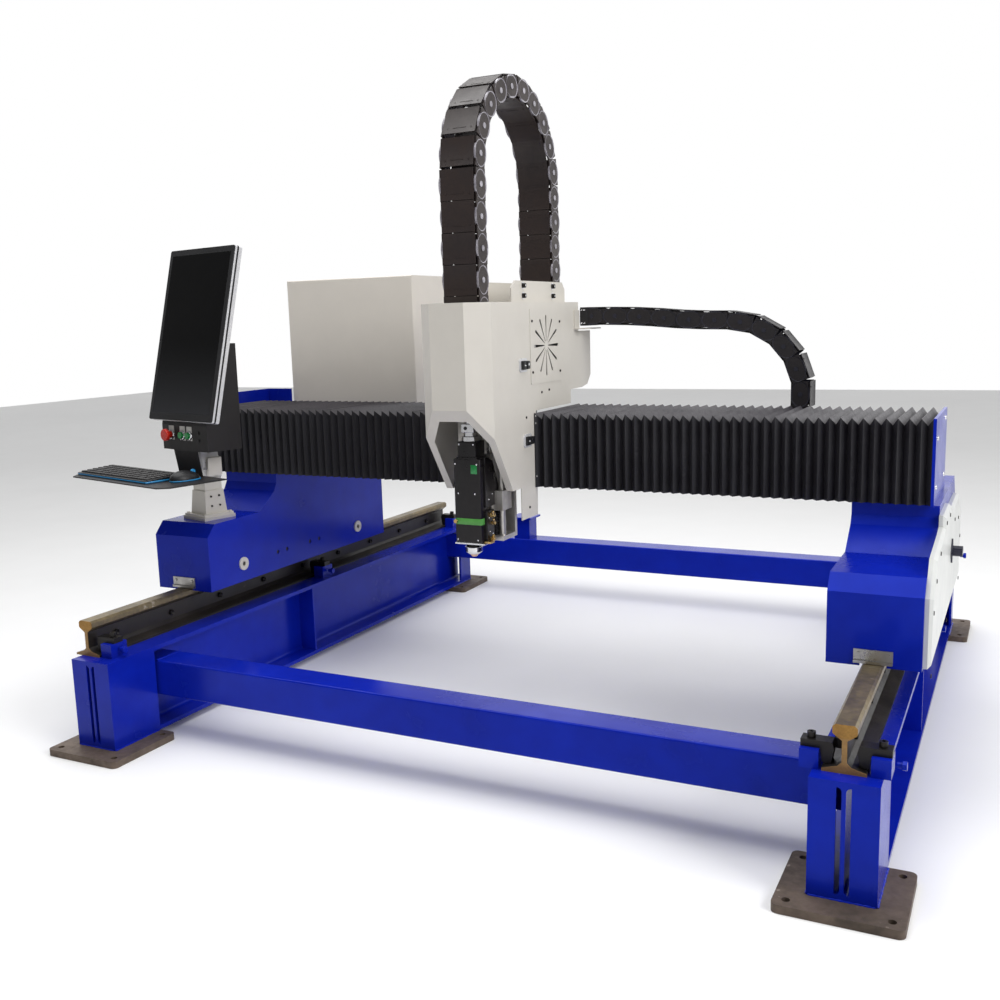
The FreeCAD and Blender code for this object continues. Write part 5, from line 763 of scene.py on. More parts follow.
def xChain():
    bendLow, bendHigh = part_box("x_chain_bend")
    upperLow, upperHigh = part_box("x_chain_upper")
    lowerLow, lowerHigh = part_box("x_chain_lower")
    width = bendHigh.y - bendLow.y
    height, (above, bent, below) = chains["xHeight"], chains["xLinks"]
    linkHeight = height - chains["play"]
    middle = (bendLow.y + bendHigh.y) / 2
    centreZ = (bendLow.z + bendHigh.z) / 2
    radius = (bendHigh.z - bendLow.z - height) / 2
    bendX = bendLow.x
    plane = SidePlane((0, middle, 0), (1, 0, 0), (0, 0, 1))
    metals = [finishes["blueBlackPlastic"], finishes["chainPlastic"]]
    arc = chainPath([("arc", (bendX, centreZ), radius, 90, -90, bent)]) + [(bendX, centreZ - radius)]
    bend = layChain("xChainBendLinks", arc, plane, linkHeight, width, 1.0, metals)
    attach(bend, "x_chain_bend")
    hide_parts("x_chain_bend")
    x0 = upperLow.x
    rise = upperHigh.z - height / 2 - (centreZ + radius)
    span = bendX - x0
    steps = ((0, rise), (0.245, rise - 0.001), (0.46, rise - 0.007), (0.67, 0.007), (0.84, 0.002),
             (1.0, 0.0))
    run = [(x0 + span * i / above, centreZ + radius + heightOn(steps, i / above)) for i in range(above + 1)]
    upper = layChain("xChainUpperLinks", run, plane, linkHeight, width, 1.0, metals)
    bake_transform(upper)
    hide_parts("x_chain_upper")
    fixed = lowerLow.x + 0.030
    line = [(fixed + (bendX - fixed) * i / below, centreZ - radius) for i in range(below + 1)]
    lower = layChain("xChainLowerLinks", line, plane, linkHeight, width, 1.0, metals)
    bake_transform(lower)
    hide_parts("x_chain_lower")
    # end brackets of the two fixed ends
    bm = bmesh.new()
    roundAll(bm, addBlock(bm, (lowerLow.x + 0.001, lowerLow.y + 0.002, lowerLow.z + 0.0005),
                          (fixed + 0.004, lowerHigh.y - 0.002, lowerHigh.z - 0.006)), 0.003)
    for y in (lowerLow.y + 0.022, lowerHigh.y - 0.022):
        addScrew(bm, (lowerLow.x + 0.014, y, lowerHigh.z - 0.006), (0, 0, 1), 0.005, 0.004)
    fit("chainFoot", bm, "blackPlastic", "chain_plastic", "gantry")
    bm = bmesh.new()
    z = centreZ + radius + rise
    roundAll(bm, addBlock(bm, (x0 + 0.0005, bendLow.y + 0.001, z - 0.031),
                          (x0 + 0.030, bendHigh.y - 0.001, z + 0.029)), 0.002)
    for dz in (-0.022, 0.020):
        for dx in (0.008, 0.018):
            addScrew(bm, (x0 + dx, bendLow.y + 0.001, z + dz), (0, -1, 0), 0.0032, 0.003, head=1, recess=1,
                     sides=12)
    fit("chainEndFitting", bm, "blackPlastic chromed", "chain_plastic", "head_carriage")


def heightOn(steps, t):
    for (t0, h0), (t1, h1) in zip(steps, steps[1:]):
        if t <= t1:
            return h0 + (h1 - h0) * (t - t0) / (t1 - t0)
    return steps[-1][1]


zChain()
xChain()
print("cable chains made")


# operator console
screenSpec = {"width": 352, "height": 564, "depth": 30, "tilt": 13.8, "bezelSide": 17, "bezelTop": 20,
              "bezelBottom": 24, "middle": 48, "pivot": 925, "centre": 1209, "back": -95}


def screenTurn():
    edge = Vector((0, m(screenSpec["back"]), m(screenSpec["pivot"])))
    lean = Matrix.Rotation(-math.radians(screenSpec["tilt"]), 4, "X")
    return consoleTurn @ Matrix.Translation(edge) @ lean @ Matrix.Translation(-edge)


def makeMonitor():
    turn = screenTurn()
    spec = screenSpec
    x0, x1 = (m(spec["middle"] + side * spec["width"] / 2) for side in (-1, 1))
    rise = (spec["centre"] - spec["pivot"]) / math.cos(math.radians(spec["tilt"]))
    z0 = m(spec["pivot"] + rise - spec["height"] / 2)
    z1 = z0 + m(spec["height"])
    y0, y1 = m(spec["back"] - spec["depth"]), m(spec["back"])
    bm = bmesh.new()
    case = addBlock(bm, (x0, y0 + 0.0045, z0), (x1, y1, z1))
    roundAlong(bm, case, 1, 0.01, 0.007, 4)
    # the groove round the frame is drawn as a dark band of faces, painted shade
    sides = [f for f in bm.faces if abs(f.normal.y) < 0.5]
    ringEdges = list({e for f in sides for e in f.edges if abs(e.verts[0].co.y - e.verts[1].co.y) > 0.01})
    bmesh.ops.subdivide_edges(bm, edges=ringEdges, cuts=3)
    for face in bm.faces:
        if abs(face.normal.y) < 0.5 and abs(face.calc_center_median().y - (y0 + y1) / 2) < 0.005:
            face.material_index = 1
    back = [f for f in bm.faces if f.normal.y > 0.9]
    bmesh.ops.inset_region(bm, faces=back, thickness=0.012, depth=0)
    bmesh.ops.inset_region(bm, faces=back, thickness=0.002, depth=-0.003)
    for face in back:
        face.material_index = 1
    for i in range(9):
        addBlock(bm, (x0 + 0.03, y1 - 0.004, z1 - 0.05 - i * 0.008),
                 (x1 - 0.03, y1 - 0.0015, z1 - 0.047 - i * 0.008),
                 material=1)
    fit("monitorCase", bm, "whitePlastic blackPlastic", "black_plastic", "console", "monitor", turn=turn,
        bevel=0.0012)
    bm = bmesh.new()
    sheet = addBlock(bm, (x0 + 0.001, y0 + 0.0005, z0 + 0.001), (x1 - 0.001, y0 + 0.0045, z1 - 0.001))
    roundAlong(bm, sheet, 1, 0.003, 0.007, 4)
    fit("monitorBezel", bm, "blackPlastic", "black_plastic", "console", turn=turn, bevel=0.0008)
    bm = bmesh.new()
    s, t, b = m(spec["bezelSide"]), m(spec["bezelTop"]), m(spec["bezelBottom"])
    addBlock(bm, (x0 + s, y0 + 0.0001, z0 + b), (x1 - s, y0 + 0.003, z1 - t))
    fit("monitorGlass", bm, "screenGlass", "screen_glass", "console", "screen", turn=turn, bevel=0.0004)


keys = {"rows": 6, "columns": 17, "gap": 0.0030, "height": 0.0042, "blockStart": 13,
        "spaceBar": (0, 4, 6), "middle": (-133, -205), "size": (416, 140), "level": 759}


def makeKeyboard():
    turn = consoleTurn
    (x, y), (long, deep), z = keys["middle"], keys["size"], m(keys["level"])
    x0, x1, y0, y1 = m(x - long / 2), m(x + long / 2), m(y - deep / 2), m(y + deep / 2)
    bm = bmesh.new()
    edge = addBlock(bm, (x0, y0, z + 0.0005), (x1, y1, z + 0.007))
    roundAll(bm, edge, 0.003)
    fit("keyboardEdge", bm, "blueEdge", "black_plastic", "console", turn=turn)
    bm = bmesh.new()
    body = addBlock(bm, (x0 + 0.001, y0 + 0.001, z + 0.006), (x1 - 0.001, y1 - 0.001, z + 0.009))
    rear = [v for v in body if v.co.z > z + 0.008 and v.co.y > y1 - 0.01]
    bmesh.ops.translate(bm, vec=(0, 0, 0.009), verts=rear)
    roundAll(bm, body, 0.0025)
    cellX = (x1 - x0 - 0.016) / keys["columns"]
    cellY = (y1 - y0 - 0.022) / keys["rows"]
    for row in range(keys["rows"]):
        column = 0
        while column < keys["columns"]:
            wide = 2 if (row + column) % 11 == 3 else 1
            if (row, column) == keys["spaceBar"][:2]:
                wide = keys["spaceBar"][2]
            wide = min(wide, keys["columns"] - column)
            gap = keys["gap"] / 2
            kx0 = x0 + 0.008 + column * cellX + (2 * gap if column == keys["blockStart"] else gap)
            kx1 = x0 + 0.008 + (column + wide) * cellX - gap
            ky0, ky1 = y0 + 0.009 + row * cellY + gap, y0 + 0.009 + (row + 1) * cellY - gap
            lift = (ky0 + ky1) / 2 - y0
            kz = z + 0.0088 + lift * 0.009 / (y1 - y0)
            key = addBlock(bm, (kx0, ky0, kz), (kx1, ky1, kz + keys["height"]), material=1)
            top = [v for v in key if v.co.z > kz + 0.002]
            bmesh.ops.scale(bm, vec=(0.9, 0.86, 1), verts=top,
                            space=Matrix.Translation((-(kx0 + kx1) / 2, -(ky0 + ky1) / 2, 0)))
            column += wide
    fit("keyboardBody", bm, "blackPlastic boxPaint", "black_plastic", "console", "keyboard", turn=turn,
        smooth=0.5)


mouse = {"spot": (118, -160, 759), "shell": (0.062, 0.106, 0.060), "rim": (0.0636, 0.1076, 1), "lean": 0.25}


def makeMouse():
    x, y, z = (m(v) for v in mouse["spot"])
    bm = bmesh.new()
    ball = bmesh.ops.create_uvsphere(bm, u_segments=32, v_segments=20, radius=0.5)["verts"]
    bmesh.ops.scale(bm, vec=mouse["shell"], verts=ball)
    bmesh.ops.bisect_plane(bm, geom=bm.verts[:] + bm.edges[:] + bm.faces[:], plane_co=(0, 0, 0),
                           plane_no=(0, 0, -1), clear_outer=True)
    hump = [v for v in bm.verts if v.co.z > 0]
    for v in hump:
        v.co.y -= v.co.z * mouse["lean"]
    rim = [e for e in bm.edges if e.is_boundary]
    low, rim = sortGrown(bmesh.ops.extrude_edge_only(bm, edges=rim))
    bmesh.ops.translate(bm, vec=(0, 0, -0.003), verts=low)
    bmesh.ops.contextual_create(bm, geom=rim)
    bmesh.ops.recalc_face_normals(bm, faces=bm.faces)
    bmesh.ops.translate(bm, vec=(x, y, z + 0.0036), verts=bm.verts)
    fit("mouseShell", bm, "blackPlastic", "black_plastic", "console", "mouse", turn=consoleTurn, smooth=1.0)
    bm = bmesh.new()
    ring = bmesh.ops.create_cone(bm, cap_ends=True, segments=40, radius1=0.5, radius2=0.5,
                                 depth=0.004)["verts"]
    bmesh.ops.scale(bm, vec=mouse["rim"], verts=ring)
    bmesh.ops.translate(bm, vec=(x, y, z + 0.0032), verts=bm.verts)
    fit("mouseEdge", bm, "blueEdge", "black_plastic", "console", turn=consoleTurn, bevel=0.001)
    bm = bmesh.new()
    addRod(bm, (x - 0.003, y + 0.030, z + 0.026), (1, 0, 0), 0.008, 0.006, 20)
    fit("mouseWheel", bm, "blueEdge", "black_plastic", "console", turn=consoleTurn, bevel=0.0008)


buttonSpec = {"places": (-38, 24, 62), "level": 893, "face": -95}


def makeButtons():
    face, level = m(buttonSpec["face"]), m(buttonSpec["level"])
    bm = bmesh.new()
    for x in buttonSpec["places"]:
        x = m(x)
        # bezel ring: a turned profile round the button
        start = bm.verts.new((x + 0.0122, face, level))
        edges = []
        last = start
        for r, y in ((0.0165, 0.0), (0.0165, -0.004), (0.0148, -0.0066), (0.0122, -0.0072), (0.0122, 0.0)):
            v = bm.verts.new((x + r, face + y, level)) if (r, y) != (0.0122, 0.0) else start
            edges.append(bm.edges.new((last, v)))
            last = v
        bmesh.ops.spin(bm, geom=edges + list({v for e in edges for v in e.verts}), cent=(x, face, level),
                       axis=(0, 1, 0), angle=2 * math.pi, steps=36, use_merge=True)
    bmesh.ops.recalc_face_normals(bm, faces=bm.faces)
    fit("buttonBezels", bm, "chromed", "bare_steel", "console", turn=consoleTurn)
    bm = bmesh.new()
    for x in buttonSpec["places"]:
        x = m(x)
        sheet = addBlock(bm, (x - 0.0145, face - 0.0012, level - 0.017),
                         (x + 0.0145, face - 0.0002, level + 0.029))
        roundAlong(bm, sheet, 1, 0.0008, 0.002, 3)
    fit("buttonPlates", bm, "labelWhite", "grey_paint", "console", turn=consoleTurn)
    bm = bmesh.new()
    for z in (m(878), m(903)):
        addRod(bm, (m(112), face - 0.0008, z), (0, -1, 0), 0.006, 0.0016, 20)
        addRod(bm, (m(112), face - 0.0020, z), (0, -1, 0), 0.0042, 0.0016, 20)
    fit("panelPlugs", bm, "anodisedBlack", "black_plastic", "console", turn=consoleTurn, bevel=0.0005)


neckSpec = {"steps": ((0.016, -0.004, 1.08), (0.018, -0.006, 1.0), (0.018, -0.006, 0.96),
                      (0.026, -0.006, 1.02)),
            "plateScrews": ((-0.034, 0.800), (-0.010, 0.803), (-0.036, 0.775), (-0.012, 0.778)),
            "frontScrews": (-0.020, 0.024), "standScrews": ((-0.016, 0.016), (0.648, 0.680))}


def makeNeck():
    # cast white elbow between the swivel disc and the box
    bm = bmesh.new()
    addBlock(bm, (-0.040, -0.038, 0.7425), (0.040, 0.038, 0.764))
    top = max(bm.faces, key=lambda f: f.calc_center_median().z)
    for rise, shift, grow in neckSpec["steps"]:
        grown = bmesh.ops.extrude_face_region(bm, geom=[top])["geom"]
        verts = [g for g in grown if isinstance(g, bmesh.types.BMVert)]
        bmesh.ops.delete(bm, geom=[top], context="FACES_ONLY")
        top = [g for g in grown if isinstance(g, bmesh.types.BMFace)][0]
        bmesh.ops.translate(bm, vec=(0.0025, shift, rise), verts=verts)
        middle = top.calc_center_median()
        bmesh.ops.scale(bm, vec=(grow, grow, 1), verts=verts, space=Matrix.Translation(-middle))
    roundAlong(bm, bm.verts, 2, 0.01, 0.014, 4)
    for v in bm.verts:
        v.co.z = min(v.co.z, 0.8425)
    fit("castElbow", bm, "castWhite", "cast_alloy", "console", turn=consoleTurn, smooth=0.7, bevel=0.003,
        segments=3)
    bm = bmesh.new()
    addRod(bm, (0, 0, 0.7315), (0, 0, 1), 0.0458, 0.0108, 48)
    addRod(bm, (0, 0, 0.7015), (0, 0, 1), 0.0178, 0.0305, 28)
    fit("swivelDisc", bm, "castWhite", "cast_alloy", "console", "swivel_mount", turn=consoleTurn,
        bevel=0.0015)
    bm = bmesh.new()
    plate = addBlock(bm, (0.050, -0.034, 0.752), (0.062, 0.020, 0.812))
    roundAll(bm, plate, 0.002)
    fit("elbowSidePlate", bm, "creamPaint", "cream_paint", "console", turn=consoleTurn)
    bm = bmesh.new()
    addScrews(bm, [(0.0455, y, z) for y, z in neckSpec["plateScrews"]], (1, 0, 0), 0.0042, 0.004, sides=14)
    addScrews(bm, [(x, -0.0405, 0.772) for x in neckSpec["frontScrews"]], (0, -1, 0), 0.0042, 0.004,
              sides=14)
    fit("elbowScrews", bm, "chromed", "bare_steel", "console", turn=consoleTurn)
    bm = bmesh.new()
    across, up = neckSpec["standScrews"]
    for z in up:
        addScrews(bm, [(0.0395 - (z - up[0]) * 0.07, y, z) for y in across], (1, 0, 0), 0.0036, 0.004,
                  sides=14)
    fit("standScrews", bm, "blackSteel", "black_steel", "gantry", turn=consoleTurn)


makeMonitor()
makeKeyboard()
makeMouse()
makeButtons()
makeNeck()
print("console made")


# cutting head
headSpec = {"left": -126, "right": -38, "front": 540, "rear": 606, "bottom": 592, "top": 842,
            "band": (651, 669),
            "sidePlate": ((0.020, 0.70), (0.150, 0.70), (0.150, 0.712), (0.112, 0.742), (0.070, 0.832),
                          (0.034, 0.845), (0.020, 0.845)),
            "sideScrews": ((0.030, 0.668), (0.050, 0.62), (0.032, 0.628), (0.036, 0.722), (0.060, 0.735)),
            "fittings": ((0.040, 0.676, 0.0085), (0.044, 0.652, 0.006), (0.040, 0.606, 0.0075)),
            "ribs": (18, 0.0041, 0.82)}


def makeLaserHead():
    spec = headSpec
    x0, x1, y0, y1 = m(spec["left"]), m(spec["right"]), m(spec["front"]), m(spec["rear"])
    z0, z1 = m(spec["bottom"]), m(spec["top"])
    shift = Matrix.Translation(place(0, 0, 0))
    middle = (x0 + x1) / 2
    bm = bmesh.new()
    lower = addBlock(bm, (x0, y0, z0 + 0.004), (x1, y1, z1))
    roundAlong(bm, lower, 2, 0.1, 0.007, 2)
    addBlock(bm, (middle - 0.029, y0 + 0.004, z1), (middle + 0.029, y0 + 0.062, z1 + 0.050))
    addBlock(bm, (middle - 0.033, y0 + 0.001, z1 - 0.001), (middle + 0.033, y0 + 0.065, z1 + 0.006))
    fit("headBody", bm, "anodisedBlack", "cast_alloy", "z_slide", "laser_head", turn=shift, smooth=0.5,
        bevel=0.0015)
    # side plate that rises to the rear, over the mount
    bm = bmesh.new()
    turn = Matrix(((0, 0, 1, 0), (1, 0, 0, 0), (0, 1, 0, 0), (0, 0, 0, 1)))
    outlinePlate(bm, spec["sidePlate"], 0.006, Matrix.Translation((x1 - 0.0005, y0, 0)) @ turn)
    addBlock(bm, (x1 - 0.002, y0 + 0.018, 0.604), (x1 + 0.010, y1 - 0.004, 0.690))
    fit("headSidePlate", bm, "anodisedBlack", "cast_alloy", "z_slide", turn=shift, smooth=0.5, bevel=0.001)
    # coloured band, window plate and base plate
    bm = bmesh.new()
    low, high = spec["band"]
    band = addBlock(bm, (x0 + 0.004, y0 - 0.0022, m(low)), (x1 + 0.001, y0 + 0.05, m(high)))
    roundAll(bm, band, 0.0012)
    fit("headBand", bm, "greenBand", "green_plastic", "z_slide", turn=shift)
    bm = bmesh.new()
    roundAll(bm, addBlock(bm, (middle + 0.014, y0 - 0.0008, 0.800), (middle + 0.034, y0 + 0.001, 0.826)),
             0.0004)
    fit("headWindow", bm, "greenPlastic", "green_plastic", "z_slide", turn=shift)
    bm = bmesh.new()
    addBlock(bm, (x0 - 0.001, y0 - 0.001, z0), (x1 + 0.008, y1, z0 + 0.0045))
    top = z1 + 0.050
    addRod(bm, (middle, y0 + 0.033, top), (0, 0, 1), 0.026, 0.014, 40)
    addRod(bm, (middle, y0 + 0.033, top + 0.014), (0, 0, 1), 0.020, 0.012, 36)
    addBlock(bm, (middle - 0.020, y0 + 0.013, top + 0.026), (middle + 0.020, y0 + 0.053, top + 0.050))
    addRod(bm, (middle, y0 + 0.033, top + 0.050), (0, 0, 1), 0.017, 0.011, 32)
    addRod(bm, (middle - 0.006, y0 + 0.0125, top + 0.038), (0, -1, 0), 0.005, 0.002, 18, material=1)
    fit("headMetalwork", bm, "chromed blackPlastic", "bare_steel", "z_slide", turn=shift, bevel=0.0012)
    # screws and gas fittings
    bm = bmesh.new()
    front = ((x0 + 0.008, 0.828), (x1 - 0.010, 0.828), (x0 + 0.016, 0.742), (x1 - 0.018, 0.742),
             (x0 + 0.010, 0.606), (x1 - 0.012, 0.606))
    addScrews(bm, [(x, y0, z) for x, z in front], (0, -1, 0), 0.0028, 0.0016, sides=12)
    neck = [(middle + side * 0.023, y0 + 0.004, z1 + 0.042) for side in (-1, 1)]
    addScrews(bm, neck, (0, -1, 0), 0.003, 0.0018, sides=12)
    for y, z in spec["sideScrews"]:
        addScrew(bm, (x1 + (0.010 if z < 0.69 else 0.0055), y0 + y, z), (1, 0, 0), 0.0028, 0.0016, sides=12)
    fit("headScrews", bm, "chromed", "bare_steel", "z_slide", turn=shift)
    bm = bmesh.new()
    for y, z, r in spec["fittings"]:
        addRod(bm, (x1 + 0.009, y0 + y, z), (1, 0, 0), r, 0.006, 6)
        addRod(bm, (x1 + 0.015, y0 + y, z), (1, 0, 0), r * 0.72, 0.008, 20)
        addRod(bm, (x1 + 0.019, y0 + y, z), (0, -0.4, 1), r * 0.6, 0.014, 16)
    addRod(bm, (x0 + 0.006, y0 - 0.002, 0.660), (0, -1, 0), 0.006, 0.006, 20)
    addBlock(bm, (x1 + 0.002, y0 + 0.010, 0.596), (x1 + 0.024, y0 + 0.034, 0.602))
    fit("gasFittings", bm, "brass", "copper", "z_slide", turn=shift, bevel=0.0008)
    # ribbed cover of the screw between the guide rods
    bm = bmesh.new()
    cx, cy = m(-60), m(648)
    verts = [bm.verts.new((cx + dx, cy + dy, 0.6055)) for dx,
             dy in ((-0.026, -0.020), (0.026, -0.020), (0.026, 0.020), (-0.026, 0.020))]
    loop = [bm.edges.new((a, b)) for a, b in zip(verts, verts[1:] + verts[:1])]
    count, step, waist = spec["ribs"]
    for i in range(count):
        ring, loop = sortGrown(bmesh.ops.extrude_edge_only(bm, edges=loop))
        bmesh.ops.translate(bm, vec=(0, 0, step), verts=ring)
        factor = waist if i % 2 == 0 else 1 / waist
        bmesh.ops.scale(bm, vec=(factor, factor, 1), verts=ring, space=Matrix.Translation((-cx, -cy, 0)))
    bmesh.ops.recalc_face_normals(bm, faces=bm.faces)
    bmesh.ops.transform(bm, matrix=shift, verts=bm.verts)
    ribs = finishPiece("screwBellows", bm, [finishes["bellowsCloth"]], smooth=0)
    ribs.modifiers.new("wall", "SOLIDIFY").thickness = 0.0012
    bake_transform(ribs)


trim = {"flank": 0.018, "clasps": ((0.725, 1.101), (0.744, 0.876)),
        "channelBolts": ((0.815, 1.035), (1.334, 1.304)),
        "ventScrews": ((0.792, 1.228), (1.000, 1.224), (0.792, 1.076), (1.000, 1.070)),
        "flankScrews": ((0.858, 1.012), (0.914, 1.016), (0.742, 0.945), (0.752, 0.672), (1.152, 1.232)),
        "claspBase": ((-0.027, -0.012), (-0.020, -0.020), (0.020, -0.020), (0.027, -0.012), (0.027, 0.012),
                      (0.020, 0.020), (-0.020, 0.020), (-0.027, 0.012))}


def makeCoverTrim():
    shift = Matrix.Translation(place(0, 0, 0))
    xf = trim["flank"]
    bm = bmesh.new()
    addScrews(bm, [(xf + 0.002, y, z) for y, z in trim["ventScrews"]], (1, 0, 0), 0.0042, 0.0022, sides=14)
    addScrews(bm, [(xf, y, z) for y, z in trim["flankScrews"]], (1, 0, 0), 0.004, 0.0022, sides=14)
    fit("coverScrews", bm, "blackSteel", "black_steel", "head_carriage", turn=shift)
    # clasps: a pale chamfered base, a dark body and a pale screw; a thin chrome disc on the grip is a
    # painted glint
    bm = bmesh.new()
    for y, z in trim["clasps"]:
        turn = Matrix.Translation((xf, y, z)) @ Matrix(((0, 0, 1, 0), (1, 0, 0, 0), (0, 1, 0, 0),
                                                        (0, 0, 0, 1)))
        outlinePlate(bm, trim["claspBase"], 0.004, turn, 0)
        body = addBlock(bm, (-0.019, -0.013, 0.004), (0.001, 0.013, 0.013), turn, 1)
        roundAll(bm, body, 0.0018)
        grip = addBlock(bm, (0.002, -0.012, 0.004), (0.024, 0.012, 0.0155), turn, 1)
        roundAll(bm, grip, 0.003)
        # painted glint: a thin chrome disc on top of the grip
        addRod(bm, turn @ Vector((0.012, 0.002, 0.0154)), (1, 0, 0), 0.004, 0.0006, 14, material=2)
        addScrew(bm, turn @ Vector((-0.010, 0.0, 0.0128)), (1, 0, 0), 0.0035, 0.002, head=2, recess=1,
                 sides=12)
    fit("coverClasps", bm, "whitePlastic blackPlastic chromed", "motor_black", "head_carriage",
        "cover_latches", turn=shift)
    # bolts through the roof channel
    bm = bmesh.new()
    x = place(-18, 0, 0).x
    for y in trim["channelBolts"][0]:
        for z in trim["channelBolts"][1]:
            spot = Vector((x, place(0, y * 1000, 0).y, z))
            addRod(bm, spot, (1, 0, 0), 0.011, 0.002, 24, material=1)
            addScrew(bm, spot + Vector((0.002, 0, 0)), (1, 0, 0), 0.0075, 0.008, head=0, recess=0)
            addRod(bm, spot + Vector((0.0095, 0, 0)), (1, 0, 0), 0.0034, 0.001, 14, material=1)
    fit("channelBolts", bm, "blackSteel chromed", "black_steel", "head_carriage")


makeLaserHead()
makeCoverTrim()
print("cutting head made")


# small hardware on the frame and the gantry
hardware = {
    "rails": (-1.110, 1.054), "rackBolts": (9, 0.150, 0.235, 0.329), "clipBlocks": (1.1545, -1.0095),
    "setScrews": (0.075, 1.130, 2.157), "setScrewLevel": 0.307, "axleCaps": (0.630, 1.318),
    "axleLevel": 0.445,
    "sideHoles": (0.818, 0.870, 1.007, 1.064), "carriageFaces": ((-0.999, 1), (0.943, -1)),
    "coverFace": 1.054 + 0.111 + 0.018,
    "coverScrews": ((0.492, 0.368), (0.505, 0.520), (0.560, 0.585), (0.660, 0.632), (0.842, 0.676),
                    (0.965, 0.676),
                    (1.180, 0.625), (1.350, 0.600), (1.470, 0.520), (1.480, 0.380), (0.980, 0.375)),
    "endScrews": ((0.835, 0.900), (1.090, 0.930), (0.835, 0.770), (1.090, 0.770))}


def makeHardware():
    shift = Matrix.Translation(place(0, 0, 0))
    bm = bmesh.new()
    count, first, step, level = hardware["rackBolts"]
    for rail in hardware["rails"]:
        addScrews(bm, [(rail + 0.0055, first + i * step, level) for i in range(count)], (1, 0, 0), 0.009,
                  0.007)
    fit("rackBolts", bm, "blackSteel", "black_steel", "frame", turn=shift)
    bm = bmesh.new()
    level = hardware["setScrewLevel"]
    for x in hardware["clipBlocks"]:
        for y in hardware["setScrews"]:
            addRod(bm, (x - 0.001, y, level), (1, 0, 0), 0.0065, 0.012, 18)
            addRod(bm, (x + 0.010, y, level), (1, 0, 0), 0.0105, 0.010, 6)
    fit("clipSetScrews", bm, "bluePaint", "blue_paint", "frame", turn=shift, bevel=0.0008)
    # screws of the bevelled side cover
    bm = bmesh.new()
    face = hardware["coverFace"] - 0.0005
    addScrews(bm, [(face, y, z) for y, z in hardware["coverScrews"]], (1, 0, 0), 0.0058, 0.0022, sides=16)
    fit("sideCoverScrews", bm, "blackSteel", "black_steel", "gantry", turn=shift)
    # painted shade: dark hex discs for the sockets in the axle caps and dark discs set inside the
    # carriages' side holes
    bm = bmesh.new()
    level = hardware["axleLevel"]
    for inner, out in hardware["carriageFaces"]:
        for y in hardware["axleCaps"]:
            addRod(bm, (inner + out * 0.0010, y, level), (out, 0, 0), 0.0076, 0.0008, 6)
        for y in hardware["sideHoles"]:
            # painted shade deep in each side hole
            addRod(bm, (inner - out * 0.004, y, level + 0.001), (out, 0, 0), 0.0069, 0.002, 18)
    fit("carriageHoleShade", bm, "blackSteel", "black_steel", "gantry", turn=shift)
    # pan screws on the right end plate of the crossbeam
    bm = bmesh.new()
    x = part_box("crossbeam")[1].x
    for y, z in hardware["endScrews"]:
        spot = Vector((x, place(0, y * 1000, 0).y, z))
        dome = bmesh.ops.create_uvsphere(bm, u_segments=16, v_segments=8, radius=0.007)["verts"]
        bmesh.ops.scale(bm, vec=(0.6, 1, 1), verts=dome)
        bmesh.ops.translate(bm, vec=spot, verts=dome)
    fit("endPlateScrews", bm, "chromed", "bare_steel", "gantry")


welds = {"step": 0.006, "sides": 7, "swell": ((0.22, 2.1, 0.0), (0.12, 0.73, 1.0)), "return": 0.176}


def weldBead(bm, start, end, radius=0.0035):
    # a rope of small swellings along the joint
    start, end = Vector(start), Vector(end)
    along = end - start
    count = max(6, int(along.length / welds["step"]))
    made = bmesh.ops.create_circle(bm, cap_ends=False, segments=welds["sides"], radius=radius)["verts"]
    turn = along.to_track_quat("Z", "Y").to_matrix().to_4x4()
    bmesh.ops.transform(bm, matrix=Matrix.Translation(start) @ turn, verts=made)
    loop = list({e for v in made for e in v.link_edges})
    swell = 1.0
    for i in range(count):
        ring, loop = sortGrown(bmesh.ops.extrude_edge_only(bm, edges=loop))
        bmesh.ops.translate(bm, vec=along / count, verts=ring)
        wanted = 1.0 + sum(size * math.sin(i * rate + phase) for size, rate, phase in welds["swell"])
        middle = start + along * (i + 1) / count
        factor = wanted / swell
        bmesh.ops.scale(bm, vec=(factor, factor, factor), verts=ring, space=Matrix.Translation(-middle))
        swell = wanted


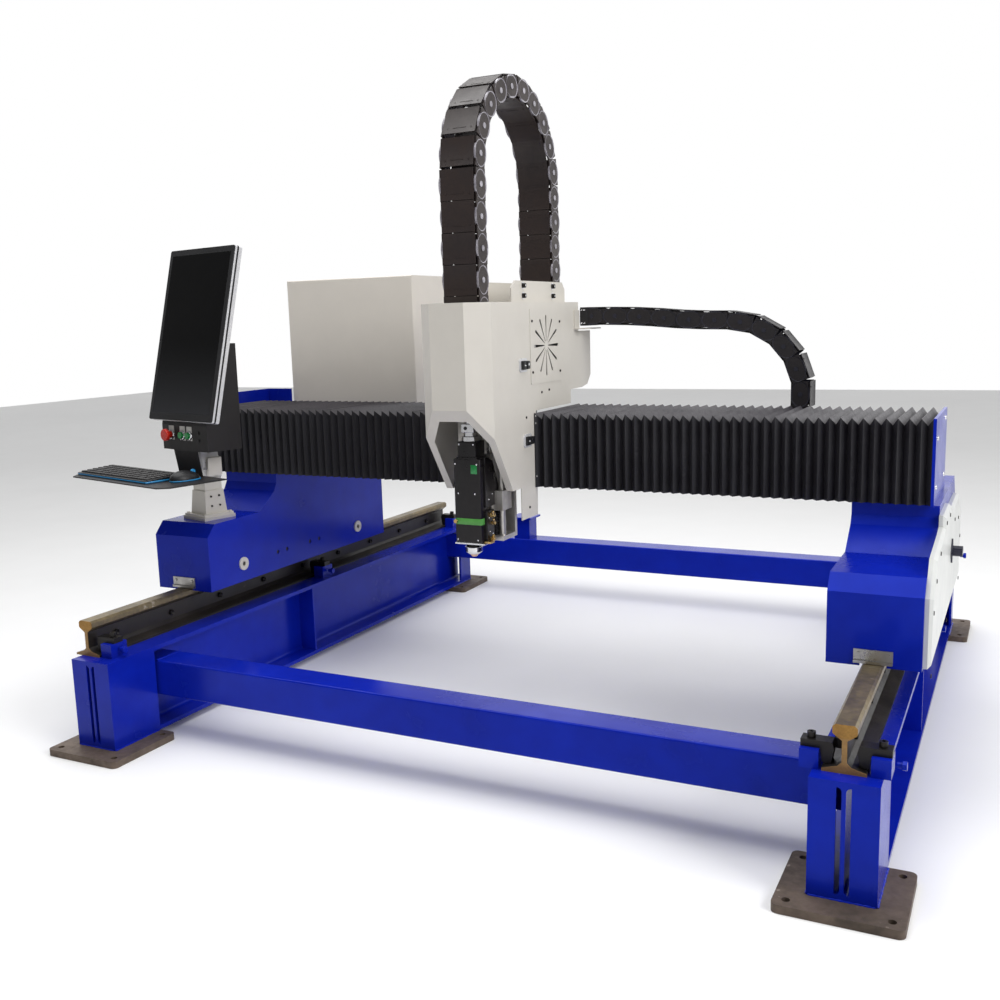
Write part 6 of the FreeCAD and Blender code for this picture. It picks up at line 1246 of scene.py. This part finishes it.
def makeWelds():
    bm = bmesh.new()
    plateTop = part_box("floor_plates")[1].z - 0.0003
    for beam in (leftBeam, rightBeam):
        for y, side in ((beam[0].y, -1), (beam[1].y, 1)):
            yy = y - side * 0.001
            weldBead(bm, (beam[0].x + 0.004, yy, plateTop), (beam[1].x - 0.004, yy, plateTop))
            for x in (beam[0].x, beam[1].x):
                weldBead(bm, (x, yy, plateTop), (x, yy - side * welds["return"], plateTop))
    for node in ("front_cross_tube", "rear_cross_tube"):
        tubeLow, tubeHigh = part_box(node)
        top = tubeLow.z + 0.110
        for x in (leftBeam[1].x + 0.0005, rightBeam[0].x - 0.0005):
            weldBead(bm, (x, tubeLow.y, top), (x, min(tubeHigh.y, tubeLow.y + 0.102), top), 0.003)
    bmesh.ops.recalc_face_normals(bm, faces=bm.faces)
    fit("weldBeads", bm, "bluePaint", "blue_paint", "frame", smooth=1.2)


makeHardware()
makeWelds()
print("hardware made")

# finishes of the CAD pieces that stay
nodeFinishes = {
    "bluePaint": ("left_beam", "beam_stiffeners", "front_cross_tube", "rear_cross_tube", "clip_blocks",
                  "left_carriage", "right_carriage", "crossbeam", "cabinet_bracket"),
    "beamPaint": ("right_beam",),
    "darkPlate": ("floor_plates",),
    "railSteel": ("left_rail", "right_rail"),
    "blackSteel": ("rail_clips", "clip_bolts", "track_racks", "drive_motors", "head_motors"),
    "bareSteel": ("rail_wipers", "front_left_wheel", "rear_left_wheel", "front_right_wheel",
                  "rear_right_wheel",
                  "left_pinion", "right_pinion", "x_pinion", "x_guides", "x_rack", "z_screw", "saddle",
                  "chain_tray"),
    "creamPaint": ("wheel_axles", "stand", "head_cover", "vent_plate", "chain_brackets"),
    # the cabinet and its door take the lighter copy of the cream paint, painted light against their shade
    "cabinetLitPaint": ("cabinet", "cabinet_door"),
    "sideCoverPaint": ("side_cover",),
    "boxPaint": ("control_box", "keyboard_tray"),
    "castAlloy": ("z_guide", "slide_block"),
    "nozzleMetal": ("nozzle",),
    "redPlastic": ("estop_button",),
    "greenPlastic": ("start_button", "stop_button"),
}
for finish, names in nodeFinishes.items():
    for name in names:
        mesh = nodes[name].data
        mesh.materials.clear()
        mesh.materials.append(finishes[finish])

aimCamera()
lightRoom()
print("camera and light set")
